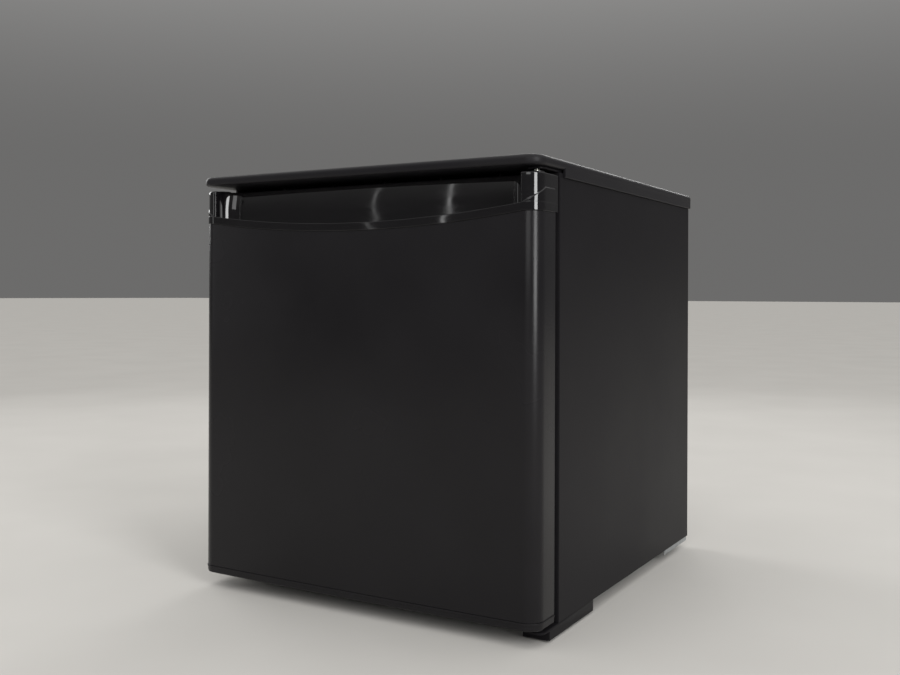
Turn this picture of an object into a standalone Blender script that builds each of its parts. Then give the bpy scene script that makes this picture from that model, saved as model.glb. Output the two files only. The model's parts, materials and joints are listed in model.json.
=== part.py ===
# Compact black refrigerator with one door, hinged on the right, and a moulded worktop.
# Lengths are in metres. X runs to the right, -Y is the front, +Z is up.
# The origin is on the floor, in the middle of the whole outline.

import math

import bmesh
import bpy
from mathutils import Matrix, Vector

# Clearances
TOUCH = 0.0003            # between pieces that touch
RUN = 0.00009             # between a shaft and the bore it turns or slides in
ROUND = 24                # flats round a shaft or a bore that runs
PASS = 0.0100             # how far a cutter reaches past the face it opens

# Cabinet
BODY_WIDTH = 0.4510
BODY_DEPTH = 0.4460
BODY_HEIGHT = 0.4700
BODY_LIFT = 0.0148        # lower edge of the side panels above the floor
SHEET = 0.0008            # painted steel sheet
FOLD = 0.0012             # radius of the folded edges
FRAME = 0.0180            # width of the steel frame round the opening
BACK_MARGIN = 0.0300      # flat border of the steel back
BACK_PRESS = 0.0015       # how far its middle stands out

# Worktop
TOP_OVERHANG = 0.0565     # reach ahead of the cabinet's front plane
TOP_MARGIN = 0.0028       # reach past the cabinet at both sides and behind
TOP_EDGE = 0.0107         # thickness of its edge
TOP_LIFT = 0.0030         # space between the steel top and the worktop's underside
TOP_SKIRT = 0.0078        # drop of the skirt below the edge
TOP_SKIRT_START = 0.0080  # where the skirt starts behind the cabinet's front plane
TOP_SKIRT_ROOT = 0.0010   # how far the skirt reaches up into the edge
TOP_SKIRT_STEP = 0.0001   # set back of the skirt behind the edge
TOP_WALL = 0.0025
TOP_HOLLOW_START = 0.0120  # hollow underneath, behind the cabinet's front plane
TOP_RIBS = 5              # ribs in the hollow
TOP_CORNER = 0.0180
TOP_REAR_CORNER = 0.0024
TOP_NOSE = 0.0050         # rounding of the upper edge
TOP_CHIN = 0.0032         # rounding of the lower edge

# Food compartment
SIDE_WALL = 0.0380        # insulated walls, outside to inside
REAR_WALL = 0.0460
CEILING_WALL = 0.0453
ROOM_FLOOR = 0.0452       # floor above the lower edge of the side panels
LINER = 0.0015
LINER_RADIUS = 0.0120
LINER_FOOT = 0.0165       # height of the liner's front flange below the opening
NICHE_DEPTH = 0.1600      # compressor niche at the lower rear
NICHE_HEIGHT = 0.1572
NICHE_FOAM = 0.0360       # foam between the niche and the liner's step

# Shelf ledges
LEDGE_REACH = 0.0060
LEDGE_HEIGHT = 0.0050
LEDGE_START = 0.1020      # behind the cabinet's front plane
LEDGE_END = 0.0140        # ahead of the wall behind
LEDGE_BELOW_STEP = 0.0021
LEDGE_MIDDLE_DROP = 0.1345  # below the compartment ceiling
LEDGE_UPPER_DROP = 0.0795   # below the compartment ceiling

# Wire shelves
FRAME_WIRE = 0.0025       # radius
CROSS_WIRE = 0.0015       # radius
WIRE_PITCH = 0.0260
SHELF_FRONT = 0.1080      # front edge behind the cabinet's front plane
SHELF_SIDE_GAP = 0.0025
SHELF_CORNER = 0.0120
SHELF_BACK = 0.0380       # rear edge of the full shelf ahead of the compartment's back

# Cold plate with its trough, drain and tray
PLATE_WIDTH = 0.2900
PLATE_ABOVE = 0.0342      # above the trough
PLATE_SHEET = 0.0015
PLATE_STANDOFF = 0.0080
PLATE_DROP = 0.0200       # below the compartment ceiling
PLATE_CORNER = 0.0080
POST_INSET = 0.0150       # its posts from its sides
POST_MARGIN = 0.0120      # its posts from its upper and lower edge
POST_HALF = 0.0040
CHANNEL_INSET = 0.0250    # channel's ends from the plate's sides
CHANNEL_MARGIN = 0.0200   # outer runs from the plate's upper and lower edge
CHANNEL_WIDTH = 0.0100
CHANNEL_HEIGHT = 0.0020
CHANNEL_RUNS = 4
TROUGH_DEPTH = 0.0260
TROUGH_HEIGHT = 0.0120
TROUGH_WALL = 0.0015
TROUGH_REACH = 0.0080     # past the plate at both ends
DRAIN_RADIUS = 0.0050
DRAIN_BORE = 0.0032
DRAIN_X = 0.0300
DRAIN_BEHIND = 0.0110     # its axis behind the trough's front
DRAIN_DIP = 0.0060        # how far it reaches down into the tray
TRAY_WIDTH = 0.1100
TRAY_DEPTH = 0.0900
TRAY_HEIGHT = 0.0160
TRAY_WALL = 0.0015
TRAY_CORNER = 0.0120
TRAY_SHIFT_X = 0.0200     # from the compressor's axis
TRAY_SHIFT_Y = 0.0080

# Compressor and pipes
PLATE_GAUGE = 0.0015      # galvanised base plate
BASE_GAP = 0.0100         # from the base plate forward to the niche's front wall
VENT_START = 0.0600       # air slot in the base plate
VENT_DEPTH = 0.0300
VENT_MARGIN = 0.0150
SKID_LENGTH = 0.0960
SKID_DROP = 0.0063        # how far the skids hang below the side panels
BASE_RISE = 0.0082        # top of the base plate above the side panels' edge
BASE_BEHIND = 0.0020      # its rear edge ahead of the cabinet's back
COMPRESSOR_RADIUS = 0.0520
COMPRESSOR_HEIGHT = 0.1160
COMPRESSOR_STRETCH = 1.18
COMPRESSOR_X = -0.0150
COMPRESSOR_BEHIND = 0.0720   # its axis ahead of the cabinet's back
FOOT_PLATE_GAUGE = 0.0025
GROMMET_RADIUS = 0.0080
GROMMET_HEIGHT = 0.0100
GROMMET_SPREAD_X = 0.0560
GROMMET_SPREAD_Y = 0.0360
RELAY_WIDTH = 0.0260
RELAY_DEPTH = 0.0500
RELAY_HEIGHT = 0.0550
RELAY_LIFT = 0.0250       # above the compressor's foot plate
PIPE_RADIUS = 0.0030
CAPILLARY_RADIUS = 0.0012
CAPILLARY_TURNS = 3
CAPILLARY_COIL = 0.0200   # radius
CAPILLARY_PITCH = 0.0035
CAPILLARY_DROP = 0.0140   # coil below the drier
CAPILLARY_INSET = 0.0450  # coil's axis inward of the drier
CAPILLARY_AHEAD = 0.0300  # coil's axis ahead of the drier
DISCHARGE_LEVEL = 0.0400  # above the compressor's foot plate
SUCTION_LEVEL = 0.0500    # above the compressor's foot plate
SUCTION_LEAD = 0.0160     # straight run out of the dome
SUCTION_ROOT = 0.0250     # how far the pipe goes up into the foam
PIPE_BEND = 0.0080        # bend radius of the pipes
PIPE_SHIFT = 0.0040       # discharge pipe ahead of the condenser
COIL_LEAD = 0.0200        # condenser ends below the niche ceiling
DRIER_RADIUS = 0.0080
DRIER_LENGTH = 0.0600
COIL_RADIUS = 0.0025      # condenser tube
COIL_INSET = 0.0655       # condenser bends inward of the cabinet's sides
COIL_SIDE = 0.0200        # its uprights outward of its bends
COIL_PITCH = 0.0360
COIL_CLEAR = 0.0500       # condenser below the steel top
COIL_START = 0.0280       # lowest run above the niche ceiling
GLAND_RADIUS = 0.0080
GLAND_BORE = 0.0038
GLAND_X = 0.1000
GLAND_HEIGHT = 0.0140
GLAND_INSET = 0.0020      # from the base plate's rear edge

# Thermostat
DIAL_RADIUS = 0.0170
DIAL_THICKNESS = 0.0110
DIAL_SHAFT = 0.0030
DIAL_INSET = 0.0445       # its axis inward of the compartment's right wall
DIAL_RIBS = 18
HOUSING_WIDTH = 0.0640
HOUSING_DEPTH = 0.0850
HOUSING_HEIGHT = 0.0460
HOUSING_FRONT = 0.1350    # behind the cabinet's front plane
HOUSING_WALL = 0.0018
SWITCH_DEPTH = 0.0300
SWITCH_INSET = 0.0080     # from the housing's inner sides
SWITCH_DROP = 0.0060      # below the compartment ceiling
GRIP_HALF = 0.0025        # half the width of the dial's grip

# Door
DOOR_REACH = 0.0548       # door face ahead of the cabinet's front plane
DOOR_GAP = 0.0110         # from the door's steel to the cabinet
DOOR_LOW_GAP = 0.0032     # door's lower edge above the side panels' lower edge
DOOR_TOP_GAP = 0.0066     # from the door up to the worktop
DOOR_BOW = 0.0022         # how much fuller the face is in its middle
DOOR_CORNER = 0.0170
FACE_STEPS = 12           # flats across the bowed face
CORNER_STEPS = 5          # flats round each upright corner
DOOR_SKIN = 0.0008
CAP_HEIGHT = 0.0084
CAP_TONGUE = 0.0080
CAP_BEAD = 0.0006         # proud of the skin
CAP_BEAD_HEIGHT = 0.0022

# Glossy trim with the scooped handle
RIDGE_DROP = 0.0449       # lowest point of the handle's edge below the door's top
RIDGE_SAG = 0.0145        # how much higher that edge is at the corners
BAND_HEIGHT = 0.0088
BAND_PROUD = 0.0008
BAND_CHAMFER = 0.0003
TRIM_TONGUE = 0.0240      # depth of the trim below its handle edge
TRIM_RIM = 0.0025         # wall of the rim behind the trim
TRIM_GAP = 0.0045         # from the rim to the cabinet
SCOOP_HALF_WIDTH = 0.2058
SCOOP_DEPTH = 0.0250
SCOOP_CORNER = 0.0200
SCOOP_LIP = 0.0036        # thickness of the edge that is pulled
SCOOP_DROP = 0.0115       # depth of the scoop below its edge
SCOOP_TRIM = 0.0003       # flat left on the edge below the chamfer's top

# Door liner, gasket and racks
DOOR_LINER = 0.0015
DIKE_GAP = 0.0175         # from the dike to the compartment's sides
DIKE_WALL = 0.0160
DIKE_DEPTH = 0.0300
DIKE_MARGIN = 0.0150      # dike inside the compartment's floor and ceiling
GASKET_WIDTH = 0.0120
GASKET_INSET = 0.0130     # from the door's sides
GASKET_LAP = 0.0030       # overlap past the opening, top and bottom
GASKET_CORNER = 0.0020    # inner corner radius
RACK_WALL = 0.0022
RACK_REACH = 0.0960       # rack front behind the door's steel edge
RACK_CORNER = 0.0120
RACK_GAP = 0.0040         # between the racks
SLOT_PITCH = 0.0240
SLOT_WIDTH = 0.0110
SLOT_MARGIN = 0.0140      # from the slots to the bin's edges
BIN_HEIGHT = 0.0620
BIN_LIFT = 0.0100         # above the dike's lower inner face
RAIL_DROP = 0.0203        # bottle rail below the dispenser
RAIL_RADIUS = 0.0025
RAIL_INSET = 0.0100       # from the bin's front and back
RAIL_CORNER = 0.0140
RAIL_LUG = 0.0060
DISPENSER_WIDTH = 0.1340
DISPENSER_DEPTH = 0.0740
DISPENSER_HEIGHT = 0.1050
RACK_DROP = 0.0397        # dispenser's rim below the dike's upper inner face
DISPENSER_MOUTH = 0.0620
UPPER_BIN_HEIGHT = 0.0450
UPPER_BIN_DROP = 0.0540   # its rim below the dike's upper inner face

# Hinges
PIVOT_INSET = 0.0125      # from the cabinet's right side
PIVOT_AHEAD = 0.0300      # ahead of the cabinet's front plane
PIN_RADIUS = 0.0030
BUSH_WALL = 0.0018
BUSH_FLANGE = 0.0080
BRACKET_GAUGE = 0.0022
BRACKET_WIDTH = 0.0415
BRACKET_LENGTH = 0.0950   # behind the cabinet's front plane
BRACKET_NOSE = 0.0090     # metal round the pin
BRACKET_WAIST = 0.0130    # its left edge from the pin's axis
FLANGE_START = 0.0220     # side flange's front end ahead of the front plane
FLANGE_DROP = 0.0100      # side and front flanges below the bracket plate
BRACKET_LIP = 0.0305      # length of the front flange
UPPER_BRACKET_LENGTH = 0.0600
UPPER_BRACKET_WIDTH = 0.0300
PIN_REACH = 0.0180        # length of pin inside the door
BUSH_RIM = 0.0015         # height of the upper bush's flange
PLUG_RIM = 0.0010         # height of the upper plug's flange

# Feet
FOOT_INSET = 0.0210       # from the cabinet's sides
FOOT_BEHIND = 0.0300      # behind the cabinet's front plane
STUD_RADIUS = 0.0040
STUD_LENGTH = 0.0300
FOOT_RADIUS = 0.0125
FOOT_HEIGHT = 0.0085
FOOT_SOCKET = 0.0035
REAR_FOOT_RADIUS = 0.0100
REAR_FOOT_INSET = 0.0240
REAR_FOOT_AHEAD = 0.0300   # ahead of the cabinet's back
PLINTH_WALL = 0.0025
PLINTH_BEHIND = 0.0060
PLINTH_LEFT = 0.0180      # from the cabinet's left side
PLINTH_LIP = 0.0120
PLINTH_LIFT = 0.0015      # above the floor

# Places worked out from the sizes
HALF = BODY_WIDTH / 2
FRONT = TOP_OVERHANG - (TOP_OVERHANG + BODY_DEPTH + TOP_MARGIN) / 2
BACK = FRONT + BODY_DEPTH
BOTTOM = BODY_LIFT
STEEL_TOP = BODY_LIFT + BODY_HEIGHT
TOP_UNDER = STEEL_TOP + TOP_LIFT
TOP = TOP_UNDER + TOP_EDGE
SKIRT_BOTTOM = TOP_UNDER - TOP_SKIRT

ROOM_HALF = HALF - SIDE_WALL
ROOM_LOW = BOTTOM + ROOM_FLOOR
ROOM_HIGH = STEEL_TOP - CEILING_WALL
ROOM_BACK = BACK - REAR_WALL
NICHE_FRONT = BACK - NICHE_DEPTH
NICHE_TOP = BOTTOM + NICHE_HEIGHT
STEP_FRONT = NICHE_FRONT - NICHE_FOAM
STEP_TOP = NICHE_TOP + NICHE_FOAM
LEDGE_STEP_TOP = STEP_TOP - LEDGE_BELOW_STEP
LEDGE_MIDDLE_TOP = ROOM_HIGH - LEDGE_MIDDLE_DROP
LEDGE_UPPER_TOP = ROOM_HIGH - LEDGE_UPPER_DROP
DIAL_X = ROOM_HALF - DIAL_INSET
COIL_Y = BACK - SHEET - TOUCH - COIL_RADIUS
COIL_HALF_WIDTH = HALF - COIL_INSET
FOAM_BACK = COIL_Y - COIL_RADIUS - TOUCH

BASE_TOP = BOTTOM + BASE_RISE
COMPRESSOR_Y = BACK - COMPRESSOR_BEHIND
FOOT_PLATE_LOW = BASE_TOP + GROMMET_HEIGHT + 2 * TOUCH
DOME_TOP = FOOT_PLATE_LOW + COMPRESSOR_HEIGHT
TRAY_LOW = DOME_TOP + TOUCH

DOOR_LIFT = BOTTOM + DOOR_LOW_GAP
DOOR_TOP = TOP_UNDER - DOOR_TOP_GAP
RIDGE_HEIGHT = DOOR_TOP - RIDGE_DROP
DOOR_FACE = FRONT - DOOR_REACH
DOOR_EDGE = FRONT - DOOR_GAP
LINER_FACE = DOOR_EDGE - DOOR_LINER
PIVOT_X = HALF - PIVOT_INSET
PIVOT_Y = FRONT - PIVOT_AHEAD
RIDGE_END = HALF - 0.9 * DOOR_CORNER
CAP_TOP = DOOR_LIFT + CAP_HEIGHT
TRIM_LOW = RIDGE_HEIGHT - TRIM_TONGUE
BUSH_RADIUS = PIN_RADIUS + RUN + BUSH_WALL
BRACKET_TOP = BOTTOM - TOUCH
BRACKET_LOW = BRACKET_TOP - BRACKET_GAUGE
FOOT_X = HALF - FOOT_INSET
FOOT_Y = FRONT + FOOT_BEHIND
DIKE_HALF_WIDTH = ROOM_HALF - DIKE_GAP
DIKE_LOW = ROOM_LOW + DIKE_MARGIN
DIKE_HIGH = TRIM_LOW - TOUCH
RACK_HALF = DIKE_HALF_WIDTH - DIKE_WALL - TOUCH
RACK_BACK = DOOR_EDGE + TOUCH
RACK_FRONT = DOOR_EDGE + RACK_REACH
BIN_LOW = DIKE_LOW + DIKE_WALL + BIN_LIFT


def clear_scene():
    for thing in list(bpy.data.objects):
        bpy.data.objects.remove(thing)


def make_material(name, colour, roughness, metallic=0.0):
    material = bpy.data.materials.new(name)
    material.use_nodes = True
    shader = material.node_tree.nodes["Principled BSDF"]
    shader.inputs["Base Color"].default_value = (*colour, 1.0)
    shader.inputs["Roughness"].default_value = roughness
    shader.inputs["Metallic"].default_value = metallic
    return material


def add_object(name, mesh, finish, origin=None):
    """Links a mesh and sets the object's origin, at its middle unless one is given."""
    corners = [vertex.co for vertex in mesh.vertices]
    if origin is None:
        origin = [(min(c[i] for c in corners) + max(c[i] for c in corners)) / 2 for i in range(3)]
    mesh.transform(Matrix.Translation(-Vector(origin)))
    thing = bpy.data.objects.new(name, mesh)
    thing.location = origin
    bpy.context.scene.collection.objects.link(thing)
    if finish:
        colour, roughness, metallic = finish
        mesh.materials.append(make_material(name, colour, roughness, metallic))
    return thing


def mesh_from(bm, name, smooth_angle=None):
    bmesh.ops.recalc_face_normals(bm, faces=bm.faces)
    mesh = bpy.data.meshes.new(name)
    bm.to_mesh(mesh)
    bm.free()
    if smooth_angle:
        mesh.shade_smooth()
        mesh.set_sharp_from_angle(angle=math.radians(smooth_angle))
    return mesh


def box_into(bm, low, high):
    """Adds one box to a bmesh, from its lowest to its highest corner."""
    size = Vector(high) - Vector(low)
    middle = (Vector(high) + Vector(low)) / 2
    matrix = Matrix.Translation(middle) @ Matrix.Diagonal((*size, 1.0))
    bmesh.ops.create_cube(bm, size=1.0, matrix=matrix)


def box(name, low, high, finish=None, soft=0.0, segments=2, pick=None):
    """A box whose picked edges, or all of them, are rounded."""
    bm = bmesh.new()
    box_into(bm, low, high)
    if soft:
        edges = [e for e in bm.edges if pick is None or pick((e.verts[0].co + e.verts[1].co) / 2)]
        bmesh.ops.bevel(bm, geom=edges, offset=soft, segments=segments, profile=0.5, affect="EDGES")
    return add_object(name, mesh_from(bm, name), finish)


def boxes(name, corners, finish=None):
    """Several separate boxes in one mesh, to be fused with a body that carries them."""
    bm = bmesh.new()
    for low, high in corners:
        box_into(bm, low, high)
    return add_object(name, mesh_from(bm, name), finish)


def as_point(axis, along, a, b):
    if axis == "X":
        return Vector((along, a, b))
    if axis == "Y":
        return Vector((a, along, b))
    return Vector((a, b, along))


def prism(name, outline, axis, start, end, finish=None, soft=0.0, segments=2, pick=None):
    """An outline of (y, z), (x, z) or (x, y) points extruded along X, Y or Z."""
    bm = bmesh.new()
    floor = bm.faces.new([bm.verts.new(as_point(axis, start, a, b)) for a, b in outline])
    moved = bmesh.ops.extrude_face_region(bm, geom=[floor])
    risen = [v for v in moved["geom"] if isinstance(v, bmesh.types.BMVert)]
    bmesh.ops.translate(bm, verts=risen, vec=as_point(axis, end - start, 0.0, 0.0))
    if soft:
        edges = [e for e in bm.edges if pick is None or pick((e.verts[0].co + e.verts[1].co) / 2)]
        bmesh.ops.bevel(bm, geom=edges, offset=soft, segments=segments, profile=0.5, affect="EDGES")
    return add_object(name, mesh_from(bm, name), finish)


def loft(name, rings, finish=None, closed=False, smooth_angle=None, origin=None):
    """Skins over rings of equal length. Ends are capped, unless the last ring meets the first."""
    bm = bmesh.new()
    rows = [[bm.verts.new(point) for point in ring] for ring in rings]
    count = len(rows[0])
    spans = len(rows) if closed else len(rows) - 1
    for r in range(spans):
        lower, upper = rows[r], rows[(r + 1) % len(rows)]
        for i in range(count):
            j = (i + 1) % count
            bm.faces.new((lower[i], lower[j], upper[j], upper[i]))
    if not closed:
        bm.faces.new(rows[0])
        bm.faces.new(rows[-1])
    return add_object(name, mesh_from(bm, name, smooth_angle), finish, origin)


def circle(centre, radius, z, count, stretch=1.0):
    turns = [2 * math.pi * i / count for i in range(count)]
    return [Vector((centre[0] + stretch * radius * math.cos(t), centre[1] + radius * math.sin(t), z)) for t in turns]


def turned(name, centre, profile, count, finish=None, stretch=1.0):
    """A piece turned about an upright axis, from (radius, height) points, bottom to top."""
    rings = [circle(centre, radius, z, count, stretch) for radius, z in profile]
    return loft(name, rings, finish, smooth_angle=35, origin=(*centre, profile[0][1]))


def arc(centre, radius, start, end, steps):
    """Points on an arc, angles in degrees."""
    turns = [math.radians(start + (end - start) * i / steps) for i in range(steps + 1)]
    return [(centre[0] + radius * math.cos(t), centre[1] + radius * math.sin(t)) for t in turns]


def rounded_rectangle(x0, x1, y0, y1, radius, steps):
    points = arc((x1 - radius, y0 + radius), radius, -90, 0, steps)
    points += arc((x1 - radius, y1 - radius), radius, 0, 90, steps)
    points += arc((x0 + radius, y1 - radius), radius, 90, 180, steps)
    points += arc((x0 + radius, y0 + radius), radius, 180, 270, steps)
    return points


def rounded_path(points, radius, steps, closed=False):
    """A route with its corners turned on arcs of one radius."""
    points = [Vector(p) for p in points]
    route = []
    for i, corner in enumerate(points):
        if not closed and i in (0, len(points) - 1):
            route.append(corner)
            continue
        before = (points[i - 1] - corner).normalized()
        after = (points[(i + 1) % len(points)] - corner).normalized()
        half = before.angle(after) / 2
        reach = radius / math.tan(half)
        middle = corner + (before + after).normalized() * radius / math.sin(half)
        first = corner + before * reach - middle
        last = corner + after * reach - middle
        for s in range(steps + 1):
            t = s / steps
            sweep = math.pi - 2 * half
            spoke = (first * math.sin((1 - t) * sweep) + last * math.sin(t * sweep)) / math.sin(sweep)
            route.append(middle + spoke)
    return route


def pipe_curve(name, points, radius, closed=False, resolution=1):
    """A round tube along points, as a curve with filled ends."""
    curve = bpy.data.curves.new(name, "CURVE")
    curve.dimensions = "3D"
    curve.bevel_depth = radius
    curve.bevel_resolution = resolution
    curve.use_fill_caps = True
    spline = curve.splines.new("POLY")
    spline.points.add(len(points) - 1)
    for knot, point in zip(spline.points, points):
        knot.co = (*point, 1.0)
    spline.use_cyclic_u = closed
    return curve


def pipe(name, points, radius, finish, resolution=1):
    start = Vector(points[0])
    curve = pipe_curve(name, [Vector(p) - start for p in points], radius, resolution=resolution)
    thing = bpy.data.objects.new(name, curve)
    thing.location = start
    bpy.context.scene.collection.objects.link(thing)
    colour, roughness, metallic = finish
    curve.materials.append(make_material(name, colour, roughness, metallic))
    return thing


def wire_mesh(name, runs, radius, resolution=1):
    """Separate wires as one mesh. Each run is its points and whether it closes on itself."""
    bm = bmesh.new()
    for points, closed in runs:
        holder = bpy.data.objects.new(name, pipe_curve(name, points, radius, closed, resolution))
        strand = bpy.data.meshes.new_from_object(holder)
        bm.from_mesh(strand)
        bpy.data.objects.remove(holder)
    bmesh.ops.remove_doubles(bm, verts=bm.verts, dist=0.000001)
    return mesh_from(bm, name)


def as_tool(thing):
    thing.hide_render = True
    thing.display_type = "WIRE"


def combine(body, tool, operation):
    as_tool(tool)
    modifier = body.modifiers.new(tool.name, "BOOLEAN")
    modifier.operation = operation
    modifier.solver = "EXACT"
    modifier.object = tool


def cut(body, *tools):
    for tool in tools:
        combine(body, tool, "DIFFERENCE")


def fuse(body, *tools):
    for tool in tools:
        combine(body, tool, "UNION")


def hang(pieces, name, place):
    """Parents pieces to an empty that stands on their joint's axis."""
    axis = bpy.data.objects.new(name, None)
    axis.location = place
    bpy.context.scene.collection.objects.link(axis)
    for piece in pieces:
        piece.parent = axis
        piece.matrix_parent_inverse = Matrix.Translation(-Vector(place))


# Finishes: colour, roughness, metallic
BLACK_STEEL = ((0.021, 0.020, 0.021), 0.42, 0.0)
BLACK_MOULDED = ((0.018, 0.018, 0.019), 0.38, 0.0)
GLOSS_BLACK = ((0.010, 0.010, 0.011), 0.08, 0.0)
GALVANISED = ((0.55, 0.56, 0.57), 0.40, 1.0)
BLACK_PAINT = ((0.012, 0.012, 0.013), 0.35, 0.0)
WHITE_LINER = ((0.82, 0.83, 0.82), 0.30, 0.0)
WHITE_WIRE = ((0.80, 0.81, 0.81), 0.35, 0.0)
CLEAR_RACK = ((0.70, 0.74, 0.76), 0.15, 0.0)
FOAM = ((0.72, 0.62, 0.40), 0.90, 0.0)
RUBBER = ((0.030, 0.030, 0.030), 0.75, 0.0)
GASKET_GREY = ((0.045, 0.045, 0.047), 0.60, 0.0)
COPPER = ((0.72, 0.36, 0.22), 0.32, 1.0)
ALUMINIUM = ((0.78, 0.79, 0.80), 0.38, 1.0)
ZINC_STEEL = ((0.62, 0.62, 0.62), 0.35, 1.0)
NYLON = ((0.03, 0.03, 0.03), 0.45, 0.0)


def room_outline(offset, front):
    """The compartment's side view: floor, step over the niche, back wall and ceiling."""
    return [
        (front, ROOM_LOW - offset),
        (STEP_FRONT + offset, ROOM_LOW - offset),
        (STEP_FRONT + offset, STEP_TOP - offset),
        (ROOM_BACK + offset, STEP_TOP - offset),
        (ROOM_BACK + offset, ROOM_HIGH + offset),
        (front, ROOM_HIGH + offset),
    ]


def room_solid(name, offset, front):
    half = ROOM_HALF + offset

    def rounded(middle):
        return middle.y > front + 0.001

    return prism(name, room_outline(offset, front), "X", -half, half, None, LINER_RADIUS + offset, 2, rounded)


def make_cabinet():
    def folded(middle):
        upper = middle.z > STEEL_TOP - 0.001
        ahead = middle.y < FRONT + 0.001
        beside = abs(middle.x) > HALF - 0.001
        return (ahead and beside) or (upper and beside) or (upper and ahead)

    shell = box("cabinet_shell", (-HALF, FRONT, BOTTOM), (HALF, BACK, STEEL_TOP), BLACK_STEEL, FOLD, 2, folded)
    inside = HALF - SHEET
    room = box("cut_shell_room", (-inside, FRONT + SHEET, BOTTOM - PASS), (inside, BACK + PASS, STEEL_TOP - SHEET))
    edge = HALF - FRAME
    mouth = box("cut_shell_mouth", (-edge, FRONT - PASS, BOTTOM - PASS), (edge, FRONT + PASS, STEEL_TOP - FRAME))
    cut(shell, room, mouth)

    fit = inside - TOUCH
    pressed_sheet("back_panel", fit, NICHE_TOP, STEEL_TOP - SHEET - TOUCH)

    pan_front = FRONT + SHEET + TOUCH
    upstand = ROOM_LOW - LINER_FOOT - TOUCH
    rear = FOAM_BACK
    centre = [
        (pan_front, upstand), (pan_front, BOTTOM), (NICHE_FRONT, BOTTOM), (NICHE_FRONT, NICHE_TOP - SHEET),
        (rear, NICHE_TOP - SHEET), (rear, NICHE_TOP), (NICHE_FRONT - SHEET, NICHE_TOP),
        (NICHE_FRONT - SHEET, BOTTOM + SHEET), (pan_front + SHEET, BOTTOM + SHEET), (pan_front + SHEET, upstand),
    ]
    pan = prism("base_pan", centre, "X", -fit, fit, BLACK_STEEL)

    foam_front = FRONT + LINER + TOUCH
    step = [
        (foam_front, BOTTOM + SHEET + TOUCH), (NICHE_FRONT - SHEET - TOUCH, BOTTOM + SHEET + TOUCH),
        (NICHE_FRONT - SHEET - TOUCH, NICHE_TOP + TOUCH), (FOAM_BACK, NICHE_TOP + TOUCH),
        (FOAM_BACK, STEEL_TOP - SHEET - TOUCH), (foam_front, STEEL_TOP - SHEET - TOUCH),
    ]
    foam = prism("cabinet_insulation", step, "X", -fit, fit, FOAM)

    def step_nose(middle):
        return abs(middle.y - STEP_FRONT) < 2 * LINER and abs(middle.z - STEP_TOP) < 2 * LINER

    # the room in the foam is left square behind the liner's rounded corners, and follows it over the step
    around = LINER + TOUCH
    room_half = ROOM_HALF + around
    room = room_outline(around, foam_front - PASS)
    cut(foam, prism("cut_foam_room", room, "X", -room_half, room_half, None, LINER_RADIUS + around, 2, step_nose))
    lap = box(
        "cut_foam_lap",
        (-HALF, foam_front - PASS, BOTTOM),
        (HALF, pan_front + SHEET + TOUCH, upstand + TOUCH),
    )
    cut(foam, lap)
    return pan, foam


def pressed_sheet(name, half, low, high):
    """The steel back, its middle field pressed outwards for stiffness."""
    bm = bmesh.new()
    corners = [(-half, low), (half, low), (half, high), (-half, high)]
    face = bm.faces.new([bm.verts.new((x, BACK, z)) for x, z in corners])
    bm.normal_update()
    bmesh.ops.inset_individual(bm, faces=[face], thickness=BACK_MARGIN, depth=0.0)
    field = max(bm.faces, key=lambda f: f.calc_area())
    bmesh.ops.inset_individual(bm, faces=[field], thickness=2 * BACK_PRESS, depth=0.0)
    for vertex in field.verts:
        vertex.co.y = BACK + BACK_PRESS
    panel = add_object(name, mesh_from(bm, name), BLACK_STEEL, (0.0, BACK, (low + high) / 2))
    solid = panel.modifiers.new("gauge", "SOLIDIFY")
    solid.thickness = SHEET
    solid.offset = -1.0
    return panel


def make_liner():
    body = room_solid("inner_liner", LINER, FRONT)
    colour, roughness, metallic = WHITE_LINER
    body.data.materials.append(make_material("inner_liner", colour, roughness, metallic))
    edge = HALF - FRAME - TOUCH
    low = ROOM_LOW - LINER_FOOT
    high = STEEL_TOP - FRAME - TOUCH
    flange = box("add_liner_flange", (-edge, FRONT, low), (edge, FRONT + LINER, high))
    fuse(body, flange)
    cut(body, room_solid("cut_liner_room", 0.0, FRONT - PASS))

    ledges = []
    inner = ROOM_HALF - LEDGE_REACH
    outer = ROOM_HALF + LINER / 2
    for high, end in (
        (LEDGE_STEP_TOP, STEP_FRONT - LEDGE_END),
        (LEDGE_MIDDLE_TOP, ROOM_BACK - LEDGE_END),
        (LEDGE_UPPER_TOP, ROOM_BACK - LEDGE_END),
    ):
        low = high - LEDGE_HEIGHT
        ledges.append(((inner, FRONT + LEDGE_START, low), (outer, end, high)))
        ledges.append(((-outer, FRONT + LEDGE_START, low), (-inner, end, high)))
    fuse(body, boxes("add_liner_ledges", ledges))
    return body


def top_ring(inset, z):
    """The worktop's plan: well rounded in front, all but square behind where it caps the case."""
    x = HALF + TOP_MARGIN - inset
    y0, y1 = FRONT - TOP_OVERHANG + inset, BACK + TOP_MARGIN - inset
    front = TOP_CORNER - inset
    rear = max(TOP_REAR_CORNER - inset, TOP_REAR_CORNER / 4)
    outline = arc((x - front, y0 + front), front, -90, 0, 5)
    outline += arc((x - rear, y1 - rear), rear, 0, 90, 2)
    outline += arc((rear - x, y1 - rear), rear, 90, 180, 2)
    outline += arc((front - x, y0 + front), front, 180, 270, 5)
    return [Vector((px, py, z)) for px, py in outline]


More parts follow.
